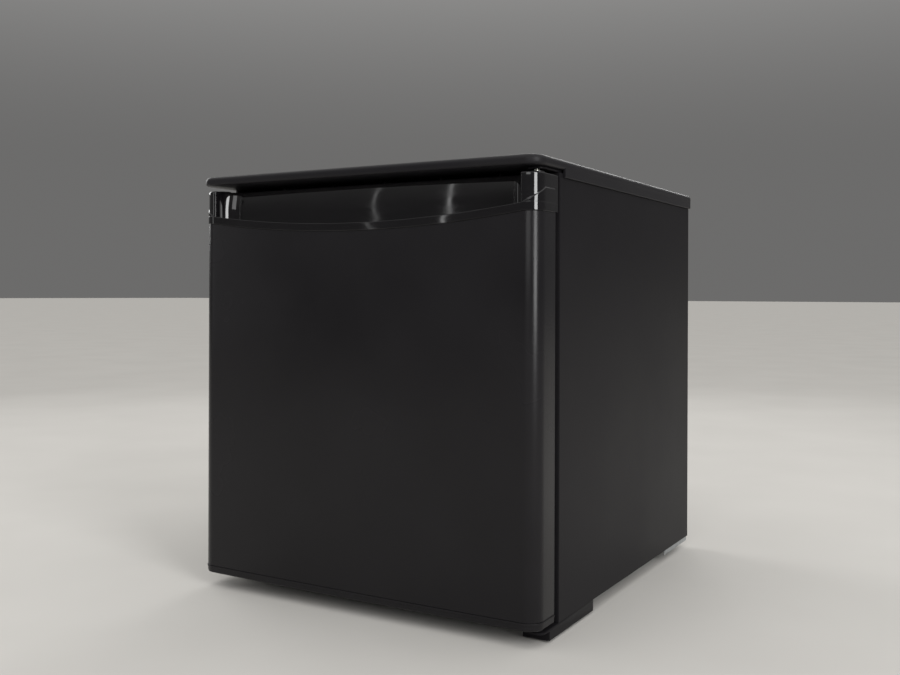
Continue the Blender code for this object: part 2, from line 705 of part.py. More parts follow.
def make_worktop():
    turns = (0.0, 0.55, 1.05, math.pi / 2)
    nose = [(TOP_NOSE * (1 - math.cos(a)), TOP - TOP_NOSE * (1 - math.sin(a))) for a in turns]
    chin = [(TOP_CHIN, TOP_UNDER), (TOP_CHIN * 0.3, TOP_UNDER + TOP_CHIN * 0.3), (0.0, TOP_UNDER + TOP_CHIN)]
    worktop = loft("worktop", [top_ring(inset, z) for inset, z in chin + nose], BLACK_MOULDED, smooth_angle=40)

    skirt_high = TOP_UNDER + TOP_CHIN + TOP_SKIRT_ROOT
    skirt = loft("add_skirt", [top_ring(TOP_SKIRT_STEP, SKIRT_BOTTOM), top_ring(TOP_SKIRT_STEP, skirt_high)])
    inside = loft("cut_skirt_room", [top_ring(TOP_WALL, SKIRT_BOTTOM - PASS), top_ring(TOP_WALL, skirt_high + PASS)])
    ahead = box(
        "cut_skirt_front",
        (-BODY_WIDTH, FRONT - 2 * TOP_OVERHANG, SKIRT_BOTTOM - PASS),
        (BODY_WIDTH, FRONT + TOP_SKIRT_START, skirt_high + PASS),
    )
    cut(skirt, inside, ahead)
    fuse(worktop, skirt)

    hollow_half = HALF - TOP_WALL
    hollow_front = FRONT + TOP_HOLLOW_START
    hollow = box(
        "cut_worktop_hollow",
        (-hollow_half, hollow_front, TOP_UNDER - PASS / 2),
        (hollow_half, BACK - TOP_WALL, TOP - TOP_WALL),
    )
    cut(worktop, hollow)
    ribs = []
    pitch = BODY_WIDTH / (TOP_RIBS + 1)
    for i in range(TOP_RIBS):
        x = (i - (TOP_RIBS - 1) / 2) * pitch
        low = (x - TOP_WALL / 2, hollow_front - TOP_WALL, STEEL_TOP + TOUCH)
        high = (x + TOP_WALL / 2, BACK - TOP_WALL / 2, TOP - TOP_WALL / 2)
        ribs.append((low, high))
    fuse(worktop, boxes("add_worktop_ribs", ribs))
    return worktop


def make_shelf(name, front, back, top):
    """A rounded frame wire with cross wires let into it, all of one radius each."""
    half = ROOM_HALF - SHELF_SIDE_GAP - FRAME_WIRE
    z = top + TOUCH + FRAME_WIRE
    y0, y1 = front + FRAME_WIRE, back - FRAME_WIRE
    corners = [(-half, y0, z), (half, y0, z), (half, y1, z), (-half, y1, z)]
    loop = rounded_path(corners, SHELF_CORNER, 3, closed=True)
    frame = add_object(name, wire_mesh(name, [(loop, True)], FRAME_WIRE), WHITE_WIRE)
    count = int((2 * half - 2 * SHELF_CORNER) / WIRE_PITCH)
    rise = FRAME_WIRE - CROSS_WIRE
    runs = []
    for i in range(count + 1):
        x = (i - count / 2) * WIRE_PITCH
        runs.append(([(x, y0, z + rise), (x, y1, z + rise)], False))
    wires = add_object("add_wires_" + name, wire_mesh(name, runs, CROSS_WIRE), None)
    fuse(frame, wires)
    brace_z = z + rise - 1.5 * CROSS_WIRE
    brace_run = [([(-half, (y0 + y1) / 2, brace_z), (half, (y0 + y1) / 2, brace_z)], False)]
    brace = add_object("add_brace_" + name, wire_mesh(name, brace_run, CROSS_WIRE), None)
    fuse(frame, brace)
    return frame


def make_shelves():
    make_shelf("full_shelf", FRONT + SHELF_FRONT, ROOM_BACK - SHELF_BACK, LEDGE_MIDDLE_TOP)
    make_shelf("half_shelf", FRONT + SHELF_FRONT, STEP_FRONT - SHELF_SIDE_GAP, LEDGE_STEP_TOP)


def make_cooling():
    back = ROOM_BACK - TOUCH
    face = back - PLATE_STANDOFF
    high = ROOM_HIGH - PLATE_DROP
    low = STEP_TOP + TOUCH + TROUGH_HEIGHT + PLATE_ABOVE
    height = high - low
    half = PLATE_WIDTH / 2
    outline = rounded_rectangle(-half, half, low, high, PLATE_CORNER, 3)
    plate = prism("cold_plate", outline, "Y", face - PLATE_SHEET, face, ALUMINIUM)
    pitch = (height - 2 * CHANNEL_MARGIN) / (CHANNEL_RUNS - 1)
    reach = half - CHANNEL_INSET
    path = []
    for run in range(CHANNEL_RUNS):
        z = high - CHANNEL_MARGIN - run * pitch
        ends = (-reach, reach) if run % 2 == 0 else (reach, -reach)
        path += [(ends[0], z), (ends[1], z)]
    fuse(plate, channel_ridge("add_channel", path, face - PLATE_SHEET))
    posts = []
    for x in (POST_INSET - half, half - POST_INSET):
        for z in (low + POST_MARGIN, high - POST_MARGIN):
            near = (x - POST_HALF, face - PLATE_SHEET / 2, z - POST_HALF)
            posts.append((near, (x + POST_HALF, back, z + POST_HALF)))
    fuse(plate, boxes("add_plate_posts", posts))

    trough_back = ROOM_BACK - TOUCH
    trough_front = trough_back - TROUGH_DEPTH
    trough_low = STEP_TOP + TOUCH
    trough_half = half + TROUGH_REACH
    trough = box(
        "drip_trough",
        (-trough_half, trough_front, trough_low),
        (trough_half, trough_back, trough_low + TROUGH_HEIGHT),
        WHITE_LINER,
    )
    corner_clear = LINER_RADIUS
    chamfer = [
        (trough_back + PASS, trough_low - PASS), (trough_back + PASS, trough_low + corner_clear),
        (trough_back, trough_low + corner_clear), (trough_back - corner_clear, trough_low),
        (trough_back - corner_clear, trough_low - PASS),
    ]
    hollow_low = trough_low + TROUGH_WALL
    hollow = [
        (trough_front + TROUGH_WALL, trough_low + TROUGH_HEIGHT + PASS), (trough_front + TROUGH_WALL, hollow_low),
        (trough_back - corner_clear, hollow_low), (trough_back - TROUGH_WALL, hollow_low + corner_clear),
        (trough_back - TROUGH_WALL, trough_low + TROUGH_HEIGHT + PASS),
    ]
    cut(trough, prism("cut_trough_back", chamfer, "X", -HALF, HALF))
    inner = trough_half - TROUGH_WALL
    cut(trough, prism("cut_trough_room", hollow, "X", -inner, inner))
    drain_y = trough_front + DRAIN_BEHIND
    return trough, drain_y, trough_low


def channel_ridge(name, path, face):
    """A raised channel that runs to and fro, its ends joined by short uprights."""
    half = CHANNEL_WIDTH / 2
    left, right = [], []
    points = [Vector((x, z)) for x, z in path]
    for i, point in enumerate(points):
        before = (point - points[i - 1]).normalized() if i else (points[1] - point).normalized()
        after = (points[i + 1] - point).normalized() if i + 1 < len(points) else before
        normal_a = Vector((-before.y, before.x))
        normal_b = Vector((-after.y, after.x))
        mitre = (normal_a + normal_b).normalized()
        reach = half / max(mitre.dot(normal_a), 0.3)
        left.append(point + mitre * reach)
        right.append(point - mitre * reach)
    rings = []
    for a, b in zip(left, right):
        inset = (b - a) * 0.22
        rings.append([
            Vector((a.x, face + PLATE_SHEET / 2, a.y)), Vector((b.x, face + PLATE_SHEET / 2, b.y)),
            Vector((b.x - inset.x, face - CHANNEL_HEIGHT, b.y - inset.y)),
            Vector((a.x + inset.x, face - CHANNEL_HEIGHT, a.y + inset.y)),
        ])
    return loft(name, rings)


def make_drain(trough, drain_y, trough_low, liner, foam, pan):
    tray_top = TRAY_LOW + TRAY_HEIGHT
    low = tray_top - DRAIN_DIP
    high = trough_low - TOUCH
    tube = turned(
        "drain_tube", (DRAIN_X, drain_y),
        [(DRAIN_RADIUS, low), (DRAIN_RADIUS, high)], 12, WHITE_LINER,
    )
    bore = turned("cut_drain_bore", (DRAIN_X, drain_y), [(DRAIN_BORE, low - PASS), (DRAIN_BORE, high + PASS)], 12)
    cut(tube, bore)
    cut(trough, bore)
    wide = DRAIN_RADIUS + TOUCH
    way = turned("cut_drain_way", (DRAIN_X, drain_y), [(wide, NICHE_TOP - PASS), (wide, high + TOUCH)], 12)
    cut(liner, way)
    cut(foam, way)
    cut(pan, way)

    x, y = COMPRESSOR_X + TRAY_SHIFT_X, COMPRESSOR_Y - TRAY_SHIFT_Y
    half_x, half_y = TRAY_WIDTH / 2, TRAY_DEPTH / 2
    outline = rounded_rectangle(x - half_x, x + half_x, y - half_y, y + half_y, TRAY_CORNER, 3)
    tray = prism("evaporation_tray", outline, "Z", TRAY_LOW, tray_top, BLACK_MOULDED)
    inner_x, inner_y = TRAY_WIDTH / 2 - TRAY_WALL, TRAY_DEPTH / 2 - TRAY_WALL
    inner = rounded_rectangle(x - inner_x, x + inner_x, y - inner_y, y + inner_y, TRAY_CORNER - TRAY_WALL, 3)
    cut(tray, prism("cut_tray", inner, "Z", TRAY_LOW + TRAY_WALL, tray_top + PASS))


def make_niche(foam, pan):
    fit = HALF - SHEET - TOUCH
    rear = BACK - BASE_BEHIND
    low = BOTTOM - SKID_DROP
    under = BASE_TOP - PLATE_GAUGE
    base_front = NICHE_FRONT + BASE_GAP
    base = box("compressor_base_plate", (-fit, base_front, under), (fit, rear, BASE_TOP), GALVANISED)
    skids = []
    for side in (-1, 1):
        edges = sorted((side * fit, side * (fit - PLATE_GAUGE)))
        skids.append(((edges[0], rear - SKID_LENGTH, low), (edges[1], rear, under + PLATE_GAUGE / 2)))
    fuse(base, boxes("add_skids", skids))
    mouth = box(
        "cut_base_vent",
        (VENT_START, base_front + VENT_MARGIN, under - PASS),
        (fit - 2 * VENT_MARGIN, base_front + VENT_MARGIN + VENT_DEPTH, BASE_TOP + PASS),
    )
    cut(base, mouth)

    centre = (COMPRESSOR_X, COMPRESSOR_Y)
    r = COMPRESSOR_RADIUS
    floor = FOOT_PLATE_LOW + FOOT_PLATE_GAUGE / 2
    rim = FOOT_PLATE_LOW + 0.55 * COMPRESSOR_HEIGHT
    shape = [(r * 0.62, floor), (r * 0.86, floor + 0.010), (r * 0.96, floor + 0.026), (r * 0.97, rim - 0.004)]
    shape += [(r, rim - 0.003), (r, rim + 0.003), (r * 0.97, rim + 0.004)]
    shape += [(r * 0.95, DOME_TOP - 0.026), (r * 0.84, DOME_TOP - 0.012), (r * 0.60, DOME_TOP - 0.003)]
    shape += [(r * 0.36, DOME_TOP)]
    compressor = turned("compressor", centre, shape, 24, BLACK_PAINT, COMPRESSOR_STRETCH)
    foot_x, foot_y = GROMMET_SPREAD_X + GROMMET_RADIUS, GROMMET_SPREAD_Y + GROMMET_RADIUS
    outline = rounded_rectangle(
        centre[0] - foot_x, centre[0] + foot_x, centre[1] - foot_y, centre[1] + foot_y, GROMMET_RADIUS, 2
    )
    plate = prism("add_foot_plate", outline, "Z", FOOT_PLATE_LOW, FOOT_PLATE_LOW + FOOT_PLATE_GAUGE)
    fuse(compressor, plate)

    number = 0
    for dx in (-GROMMET_SPREAD_X, GROMMET_SPREAD_X):
        for dy in (-GROMMET_SPREAD_Y, GROMMET_SPREAD_Y):
            number += 1
            z = BASE_TOP + TOUCH
            g = GROMMET_RADIUS
            ring = [(g, z), (g, z + 0.003), (g * 0.75, z + 0.004), (g * 0.75, z + 0.006), (g, z + 0.007)]
            ring += [(g, z + GROMMET_HEIGHT)]
            turned("compressor_grommet_%d" % number, (centre[0] + dx, centre[1] + dy), ring, 12, RUBBER)

    relay_x = centre[0] - r * COMPRESSOR_STRETCH - TOUCH
    relay_low = FOOT_PLATE_LOW + RELAY_LIFT
    box(
        "relay_box",
        (relay_x - RELAY_WIDTH, centre[1] - RELAY_DEPTH / 2, relay_low),
        (relay_x, centre[1] + RELAY_DEPTH / 2, relay_low + RELAY_HEIGHT),
        BLACK_MOULDED, 0.0030, 2,
    )
    gland_y = rear - GLAND_RADIUS - GLAND_INSET
    gland_z = BASE_TOP + TOUCH
    gland_shape = [(GLAND_RADIUS, gland_z), (GLAND_RADIUS, gland_z + 0.004), (GLAND_RADIUS * 0.8, gland_z + 0.006)]
    gland_shape += [(GLAND_RADIUS * 0.8, gland_z + GLAND_HEIGHT)]
    gland = turned("cord_gland", (GLAND_X, gland_y), gland_shape, 12, BLACK_MOULDED)
    bore = turned(
        "cut_gland_bore", (GLAND_X, gland_y),
        [(GLAND_BORE, gland_z - PASS / 2), (GLAND_BORE, gland_z + GLAND_HEIGHT + PASS)], 10,
    )
    cut(gland, bore)
    cut(base, bore)
    make_pipes(centre, foam, pan)


def make_pipes(centre, foam, pan):
    coil_low = NICHE_TOP + COIL_START
    start_z = NICHE_TOP - COIL_LEAD
    side = COIL_HALF_WIDTH + COIL_SIDE
    runs = int((STEEL_TOP - COIL_CLEAR - coil_low) / COIL_PITCH) + 1
    runs -= 1 - runs % 2
    turn = COIL_HALF_WIDTH - COIL_SIDE
    corners = [(-side, COIL_Y, start_z)]
    for run in range(runs):
        z = coil_low + run * COIL_PITCH
        first, last = (-turn, turn) if run % 2 == 0 else (turn, -turn)
        if run == 0:
            first = -side
        if run == runs - 1:
            last = side
        corners += [(first, COIL_Y, z), (last, COIL_Y, z)]
    corners.append((side, COIL_Y, start_z))
    pipe("condenser_coil", rounded_path(corners, COIL_PITCH * 0.42, 3), COIL_RADIUS, COPPER)

    reach = COMPRESSOR_RADIUS * COMPRESSOR_STRETCH
    ahead = COIL_Y - PIPE_SHIFT
    level = FOOT_PLATE_LOW + DISCHARGE_LEVEL
    out_x = centre[0] - reach * 0.62
    bend_low = start_z - 3 * PIPE_SHIFT
    discharge = [
        (out_x, centre[1] + COMPRESSOR_RADIUS * 0.775, level), (out_x, ahead, level),
        (-side, ahead, level), (-side, ahead, bend_low),
    ]
    tail = [(-side, COIL_Y, start_z - 2 * PIPE_SHIFT), (-side, COIL_Y, start_z - TOUCH)]
    route = rounded_path(discharge, PIPE_BEND, 3) + [Vector(p) for p in tail]
    pipe("discharge_pipe", route, COIL_RADIUS, COPPER)

    drier_top = start_z - 2 * COIL_LEAD + PIPE_BEND
    drier_low = drier_top - DRIER_LENGTH
    drier_y = COIL_Y - 2 * DRIER_RADIUS
    cone = 1.25 * DRIER_RADIUS
    neck = COIL_RADIUS
    shape = [(CAPILLARY_RADIUS * 2, drier_low), (DRIER_RADIUS, drier_low + cone), (DRIER_RADIUS, drier_top - cone)]
    shape += [(neck, drier_top - cone / 5), (neck, drier_top)]
    turned("filter_drier", (side, drier_y), shape, 12, COPPER)
    knee = (start_z + drier_top) / 2
    link = [(side, drier_y, drier_top + TOUCH), (side, drier_y, knee), (side, COIL_Y, start_z - PIPE_BEND)]
    link += [(side, COIL_Y, start_z - TOUCH)]
    pipe("drier_link", link, COIL_RADIUS, COPPER)

    coil_x, coil_y = side - CAPILLARY_INSET, drier_y - CAPILLARY_AHEAD
    turns = []
    steps = 12
    for i in range(CAPILLARY_TURNS * steps + 1):
        t = 2 * math.pi * i / steps
        z = drier_low - CAPILLARY_DROP - CAPILLARY_PITCH * i / steps
        turns.append((coil_x + CAPILLARY_COIL * math.cos(t), coil_y + CAPILLARY_COIL * math.sin(t), z))
    lead = [(side, drier_y, drier_low - TOUCH), (side, drier_y, drier_low - CAPILLARY_DROP / 2)]
    pipe("capillary_tube", lead + turns, CAPILLARY_RADIUS, COPPER)

    leg_x = centre[0] - reach * 0.80 - SUCTION_LEAD / 2
    leg_y = centre[1] - COMPRESSOR_RADIUS * 0.60 - PIPE_RADIUS * 2 - SUCTION_LEAD / 2
    top = NICHE_TOP + SUCTION_ROOT
    pipe_low = FOOT_PLATE_LOW + SUCTION_LEVEL
    suction = [
        (leg_x + SUCTION_LEAD * 0.75, leg_y + SUCTION_LEAD * 0.75, pipe_low), (leg_x, leg_y, pipe_low),
        (leg_x, leg_y, top - TOUCH),
    ]
    pipe("suction_pipe", rounded_path(suction, PIPE_BEND, 3), PIPE_RADIUS, COPPER)
    wide = PIPE_RADIUS + 2 * TOUCH
    way = turned("cut_suction_way", (leg_x, leg_y), [(wide, NICHE_TOP - PASS), (wide, top)], 12)
    cut(foam, way)
    cut(pan, way)


def make_thermostat():
    front = FRONT + HOUSING_FRONT
    high = ROOM_HIGH - TOUCH
    low = high - HOUSING_HEIGHT
    x0, x1 = DIAL_X - HOUSING_WIDTH / 2, DIAL_X + HOUSING_WIDTH / 2
    back = front + HOUSING_DEPTH

    def shown(middle):
        return middle.z < high - 0.001

    housing = box("thermostat_housing", (x0, front, low), (x1, back, high), WHITE_LINER, 0.0040, 2, shown)
    wall = HOUSING_WALL
    room = box("cut_housing_room", (x0 + wall, front + wall, low + wall), (x1 - wall, back - wall, high + PASS))
    dial_z = low + HOUSING_HEIGHT / 2
    wide = DIAL_SHAFT + 2 * TOUCH
    shaft_hole = lying_disc("cut_shaft_hole", (DIAL_X, dial_z), wide, front - PASS, front + PASS, 12)
    cut(housing, room, shaft_hole)

    switch_half = HOUSING_WIDTH / 2 - wall - SWITCH_INSET
    switch_front = front + wall + TOUCH
    box(
        "thermostat_switch",
        (DIAL_X - switch_half, switch_front, low + wall + TOUCH),
        (DIAL_X + switch_half, switch_front + SWITCH_DEPTH, high - SWITCH_DROP), ZINC_STEEL, 0.0010, 1,
    )

    outline = []
    for i in range(DIAL_RIBS * 2):
        radius = DIAL_RADIUS if i % 2 == 0 else DIAL_RADIUS * 0.94
        t = math.pi * i / DIAL_RIBS
        outline.append((DIAL_X + radius * math.cos(t), dial_z + radius * math.sin(t)))
    dial_back = front - TOUCH
    dial = prism("thermostat_dial", outline, "Y", dial_back - DIAL_THICKNESS * 0.45, dial_back, WHITE_LINER)
    boss = lying_disc(
        "add_dial_boss", (DIAL_X, dial_z), DIAL_RADIUS * 0.62,
        dial_back - DIAL_THICKNESS * 0.80, dial_back - DIAL_THICKNESS * 0.2, 18,
    )
    shaft = lying_disc(
        "add_dial_shaft", (DIAL_X, dial_z), DIAL_SHAFT, dial_back - 0.0010, front + wall, 12,
    )
    grip = box(
        "add_dial_grip",
        (DIAL_X - GRIP_HALF, dial_back - DIAL_THICKNESS, dial_z - DIAL_RADIUS * 0.80),
        (DIAL_X + GRIP_HALF, dial_back - DIAL_THICKNESS * 0.3, dial_z + DIAL_RADIUS * 0.80),
    )
    fuse(dial, boss, shaft, grip)
    hang([dial], "dial_axis", (DIAL_X, dial_back, dial_z))


def lying_disc(name, centre, radius, y0, y1, count):
    turns = [2 * math.pi * i / count for i in range(count)]
    outline = [(centre[0] + radius * math.cos(t), centre[1] + radius * math.sin(t)) for t in turns]
    return prism(name, outline, "Y", y0, y1)


def door_face(x):
    """Where the door's bowed face lies across its width."""
    return DOOR_FACE + DOOR_BOW * (x / HALF) ** 2


def face_stations():
    """Where the door's bowed face is stepped across its width, right to left."""
    corner_x = HALF - DOOR_CORNER
    return [corner_x * (1 - 2 * i / FACE_STEPS) for i in range(1, FACE_STEPS)]


def door_plan(offset, rear):
    """The door seen from above, from its right rear corner round the front to the left."""
    radius = DOOR_CORNER - offset
    half = HALF - offset
    corner_x = half - radius
    corner_y = door_face(corner_x) + offset + radius
    right = arc((corner_x, corner_y), radius, 0, -90, CORNER_STEPS)
    face = [(x, door_face(x) + offset) for x in face_stations()]
    left = arc((-corner_x, corner_y), radius, -90, -180, CORNER_STEPS)
    return [(half, rear)] + right + face + left + [(-half, rear)]


def ridge(x):
    """Height of the handle's edge, a shallow smile that runs level round the corners."""
    reach = min(abs(x), RIDGE_END)
    return RIDGE_HEIGHT + RIDGE_SAG * (reach / RIDGE_END) ** 2


def band_low(x):
    return ridge(x) - BAND_HEIGHT


def door_ring(offset, rear, height):
    """One ring of the door's plan, with its height given as a number or as a rule."""
    rule = height if callable(height) else (lambda x: height)
    return [Vector((x, y, rule(x))) for x, y in door_plan(offset, rear)]


def make_door_panel():
    outer = door_plan(0.0, DOOR_EDGE)
    inner = door_plan(DOOR_SKIN, DOOR_EDGE)
    low = CAP_TOP + TOUCH
    sections = []
    for (ax, ay), (bx, by) in zip(outer, inner):
        a_top = band_low(ax) - TOUCH
        b_top = band_low(bx) - TOUCH
        outside = [Vector((ax, ay, low)), Vector((ax, ay, a_top))]
        sections.append(outside + [Vector((bx, by, b_top)), Vector((bx, by, low))])
    return loft("door_panel", sections, BLACK_STEEL, smooth_angle=30)


def make_trim():
    tongue = DOOR_SKIN + TOUCH
    rear = LINER_FACE - TOUCH
    top = DOOR_TOP
    rings = [
        door_ring(tongue, rear, TRIM_LOW),
        door_ring(tongue, rear, band_low),
        door_ring(-BAND_PROUD, rear, lambda x: band_low(x) + BAND_CHAMFER),
        door_ring(-BAND_PROUD, rear, lambda x: ridge(x) - BAND_PROUD),
        door_ring(0.0, rear, ridge),
        door_ring(0.0, rear, top - 0.0020),
        door_ring(0.0006, rear, top - 0.0006),
        door_ring(0.0020, rear, top),
    ]
    trim = loft("door_top_trim", rings, GLOSS_BLACK, smooth_angle=25)

    outer, inner = HALF - 0.0001, HALF - TRIM_RIM
    low = ridge(HALF) - BAND_HEIGHT + 0.0004
    crown = top - TRIM_RIM
    arch = [(outer, low), (outer, top - 0.0002), (-outer, top - 0.0002), (-outer, low)]
    arch += [(-inner, low), (-inner, crown), (inner, crown), (inner, low)]
    fuse(trim, prism("add_trim_rim", arch, "Y", rear - 0.0010, FRONT - TRIM_GAP))
    cut(trim, scoop())
    return trim


def scoop():
    """The hollow behind the handle's edge, with round rear corners and a curved floor."""
    fractions = [0.0, 0.03, 0.15, 0.37, 0.74, 0.92, 1.0, 0.98, 1.09, 1.15]
    span = DOOR_TOP - RIDGE_HEIGHT
    drops = [0.0015, 0.0065, 0.0100, SCOOP_DROP, 0.0105, 0.0070, 0.0010, -0.45 * span, None, None]
    stations = []
    for i in range(5):
        t = math.radians(90 * i / 4)
        stations.append(SCOOP_HALF_WIDTH - SCOOP_CORNER * (1 - math.cos(t)))
    flat = SCOOP_HALF_WIDTH - SCOOP_CORNER
    middle = [x for x in face_stations() if abs(x) < flat - 0.002]
    stations = stations + middle + [-x for x in reversed(stations)]
    rings = []
    for x in stations:
        into = max(abs(x) - flat, 0.0)
        depth = SCOOP_DEPTH - SCOOP_CORNER + math.sqrt(max(SCOOP_CORNER ** 2 - into ** 2, 0.0))
        depth = max(depth, SCOOP_LIP + 0.0012)
        face, edge = door_face(x), ridge(x) - SCOOP_TRIM
        ring = [Vector((x, face - PASS, edge)), Vector((x, face + SCOOP_LIP - 0.0010, edge))]
        for share, drop in zip(fractions, drops):
            y = face + SCOOP_LIP + share * (depth - SCOOP_LIP)
            if drop is None:
                z = DOOR_TOP - 0.0012 if share < 1.1 else DOOR_TOP + PASS
            else:
                z = edge - drop
            ring.append(Vector((x, y, z)))
        ring.append(Vector((x, face - PASS, DOOR_TOP + PASS)))
        rings.append(ring)
    return loft("cut_scoop", rings)


def make_cap():
    rear = DOOR_EDGE
    tongue_rear = LINER_FACE - TOUCH
    low = DOOR_LIFT
    inner = DOOR_SKIN + TOUCH
    bead = CAP_TOP - CAP_BEAD_HEIGHT
    rings = [
        door_ring(0.0026, rear, low),
        door_ring(0.0008, rear, low + 0.0006),
        door_ring(0.0, rear, low + 0.0022),
        door_ring(0.0, rear, bead),
        door_ring(-CAP_BEAD, rear, bead + 0.0003),
        door_ring(-CAP_BEAD, rear, CAP_TOP - 0.0004),
        door_ring(0.0, rear, CAP_TOP),
    ]
    cap = loft("door_bottom_cap", rings, BLACK_MOULDED, smooth_angle=30)
    tongue = loft("add_cap_tongue", [
        door_ring(inner, tongue_rear, CAP_TOP - 0.0010),
        door_ring(inner, tongue_rear, CAP_TOP + CAP_TONGUE),
    ])
    fuse(cap, tongue)
    return cap


def make_door_liner():
    half = HALF - TRIM_RIM - TOUCH
    low = CAP_TOP + TOUCH
    high = ROOM_HIGH + GASKET_LAP + GASKET_WIDTH + 0.0060
    liner = box("door_liner", (-half, LINER_FACE, low), (half, DOOR_EDGE, high), WHITE_LINER)

    def rear_edge(middle):
        return middle.y > DOOR_EDGE + 0.001

    dike = box(
        "add_dike",
        (-DIKE_HALF_WIDTH, LINER_FACE + DOOR_LINER / 2, DIKE_LOW),
        (DIKE_HALF_WIDTH, DOOR_EDGE + DIKE_DEPTH, DIKE_HIGH), None, 0.0060, 2, rear_edge,
    )
    inner = DIKE_HALF_WIDTH - DIKE_WALL
    dish = box(
        "cut_dish",
        (-inner, DOOR_EDGE, DIKE_LOW + DIKE_WALL), (inner, DOOR_EDGE + DIKE_DEPTH + PASS, DIKE_HIGH - DIKE_WALL),
    )
    fuse(liner, dike)
    cut(liner, dish)
    return liner


def make_gasket():
    x = HALF - GASKET_INSET
    corner = GASKET_WIDTH + GASKET_CORNER
    low = ROOM_LOW - GASKET_LAP - GASKET_WIDTH
    high = ROOM_HIGH + GASKET_LAP + GASKET_WIDTH
    near, far = DOOR_EDGE + TOUCH, FRONT - TOUCH
    w = GASKET_WIDTH
    section = [(0.0, near), (0.0, near + 0.0022), (0.0022, near + 0.0042), (0.0008, near + 0.0066), (0.0, far)]
    section += [(w, far), (w - 0.0008, near + 0.0066), (w - 0.0022, near + 0.0042), (w, near + 0.0022), (w, near)]
    rings = []
    for inset, y in section:
        radius = corner - inset
        outline = rounded_rectangle(-x + inset, x - inset, low + inset, high - inset, radius, 2)
        rings.append([Vector((px, y, pz)) for px, pz in outline])
    return loft("door_gasket", rings, GASKET_GREY, closed=True, smooth_angle=40)


def open_bin(name, x0, x1, low, height, finish):
    """A rack that opens upwards, with rounded front corners and slots in its front."""
    round_y = RACK_FRONT - RACK_CORNER
    outline = [(x0, RACK_BACK), (x1, RACK_BACK)]
    outline += arc((x1 - RACK_CORNER, round_y), RACK_CORNER, 0, 90, 3)
    outline += arc((x0 + RACK_CORNER, round_y), RACK_CORNER, 90, 180, 3)
    bin_body = prism(name, outline, "Z", low, low + height, finish)
    w = RACK_WALL
    inner = [(x0 + w, RACK_BACK + w), (x1 - w, RACK_BACK + w)]
    inner += arc((x1 - RACK_CORNER, round_y), RACK_CORNER - w, 0, 90, 3)
    inner += arc((x0 + RACK_CORNER, round_y), RACK_CORNER - w, 90, 180, 3)
    cut(bin_body, prism("cut_room_" + name, inner, "Z", low + w, low + height + PASS))
    slots = []
    count = int((x1 - x0 - 2 * SLOT_PITCH) / SLOT_PITCH)
    middle = (x0 + x1) / 2
    for i in range(count + 1):
        x = middle + (i - count / 2) * SLOT_PITCH
        near = (x - SLOT_WIDTH / 2, RACK_FRONT - 2 * RACK_WALL, low + SLOT_MARGIN)
        slots.append((near, (x + SLOT_WIDTH / 2, RACK_FRONT + PASS, low + height - SLOT_MARGIN)))
    cut(bin_body, boxes("cut_slots_" + name, slots))
    return bin_body


def make_racks():
    bottle = open_bin("bottle_bin", -RACK_HALF, RACK_HALF, BIN_LOW, BIN_HEIGHT, CLEAR_RACK)

    high = DIKE_HIGH - DIKE_WALL - RACK_DROP
    low = high - DISPENSER_HEIGHT
    rail_z = low - RAIL_DROP
    ends_y = RACK_BACK + RAIL_INSET
    out_y = RACK_FRONT - RAIL_INSET
    half = RACK_HALF - RAIL_RADIUS
    corners = [(-half, ends_y, rail_z), (-half, out_y, rail_z), (half, out_y, rail_z), (half, ends_y, rail_z)]
    run = rounded_path(corners, RAIL_CORNER, 3)
    rail = add_object("bottle_rail", wire_mesh("bottle_rail", [(run, False)], RAIL_RADIUS), WHITE_WIRE)
    lugs = []
    for side in (-1, 1):
        edges = sorted((side * RACK_HALF, side * (half - RAIL_RADIUS)))
        lugs.append(((edges[0], RACK_BACK, rail_z - RAIL_LUG), (edges[1], ends_y + RAIL_LUG, rail_z + RAIL_LUG)))
    fuse(rail, boxes("add_rail_lugs", lugs))

    x0 = -RACK_HALF
    x1 = x0 + DISPENSER_WIDTH
    depth = DISPENSER_DEPTH
    outline = [(x0, RACK_BACK), (x1, RACK_BACK)]
    r = RACK_CORNER
    outline += arc((x1 - r, RACK_BACK + depth - r), r, 0, 90, 3)
    outline += arc((x0 + r, RACK_BACK + depth - r), r, 90, 180, 3)
    holder = prism("can_dispenser", outline, "Z", low, high, CLEAR_RACK)
    w = RACK_WALL
    inner = [(x0 + w, RACK_BACK + w), (x1 - w, RACK_BACK + w)]
    inner += arc((x1 - r, RACK_BACK + depth - r), r - w, 0, 90, 3)
    inner += arc((x0 + r, RACK_BACK + depth - r), r - w, 90, 180, 3)
    cut(holder, prism("cut_dispenser_room", inner, "Z", low + w, high + PASS))
    near = RACK_BACK + depth - r - RACK_WALL
    mouth = box(
        "cut_dispenser_mouth",
        (x0 + r, near, low + SLOT_MARGIN), (x1 - r, RACK_BACK + depth + PASS, low + SLOT_MARGIN + DISPENSER_MOUTH),
    )
    middle = (x0 + x1) / 2
    slot = box(
        "cut_dispenser_slot",
        (middle - SLOT_WIDTH, near, low + DISPENSER_MOUTH),
        (middle + SLOT_WIDTH, RACK_BACK + depth + PASS, high + PASS),
    )
    cut(holder, mouth, slot)
    shelf_low = DIKE_HIGH - DIKE_WALL - UPPER_BIN_DROP - UPPER_BIN_HEIGHT
    upper = open_bin("upper_bin", x1 + RACK_GAP, RACK_HALF, shelf_low, UPPER_BIN_HEIGHT, CLEAR_RACK)
    return [bottle, rail, holder, upper]


def hinge_hole(name, x, low, high):
    return turned(name, (x, PIVOT_Y), [(BUSH_RADIUS + TOUCH, low), (BUSH_RADIUS + TOUCH, high)], 16)


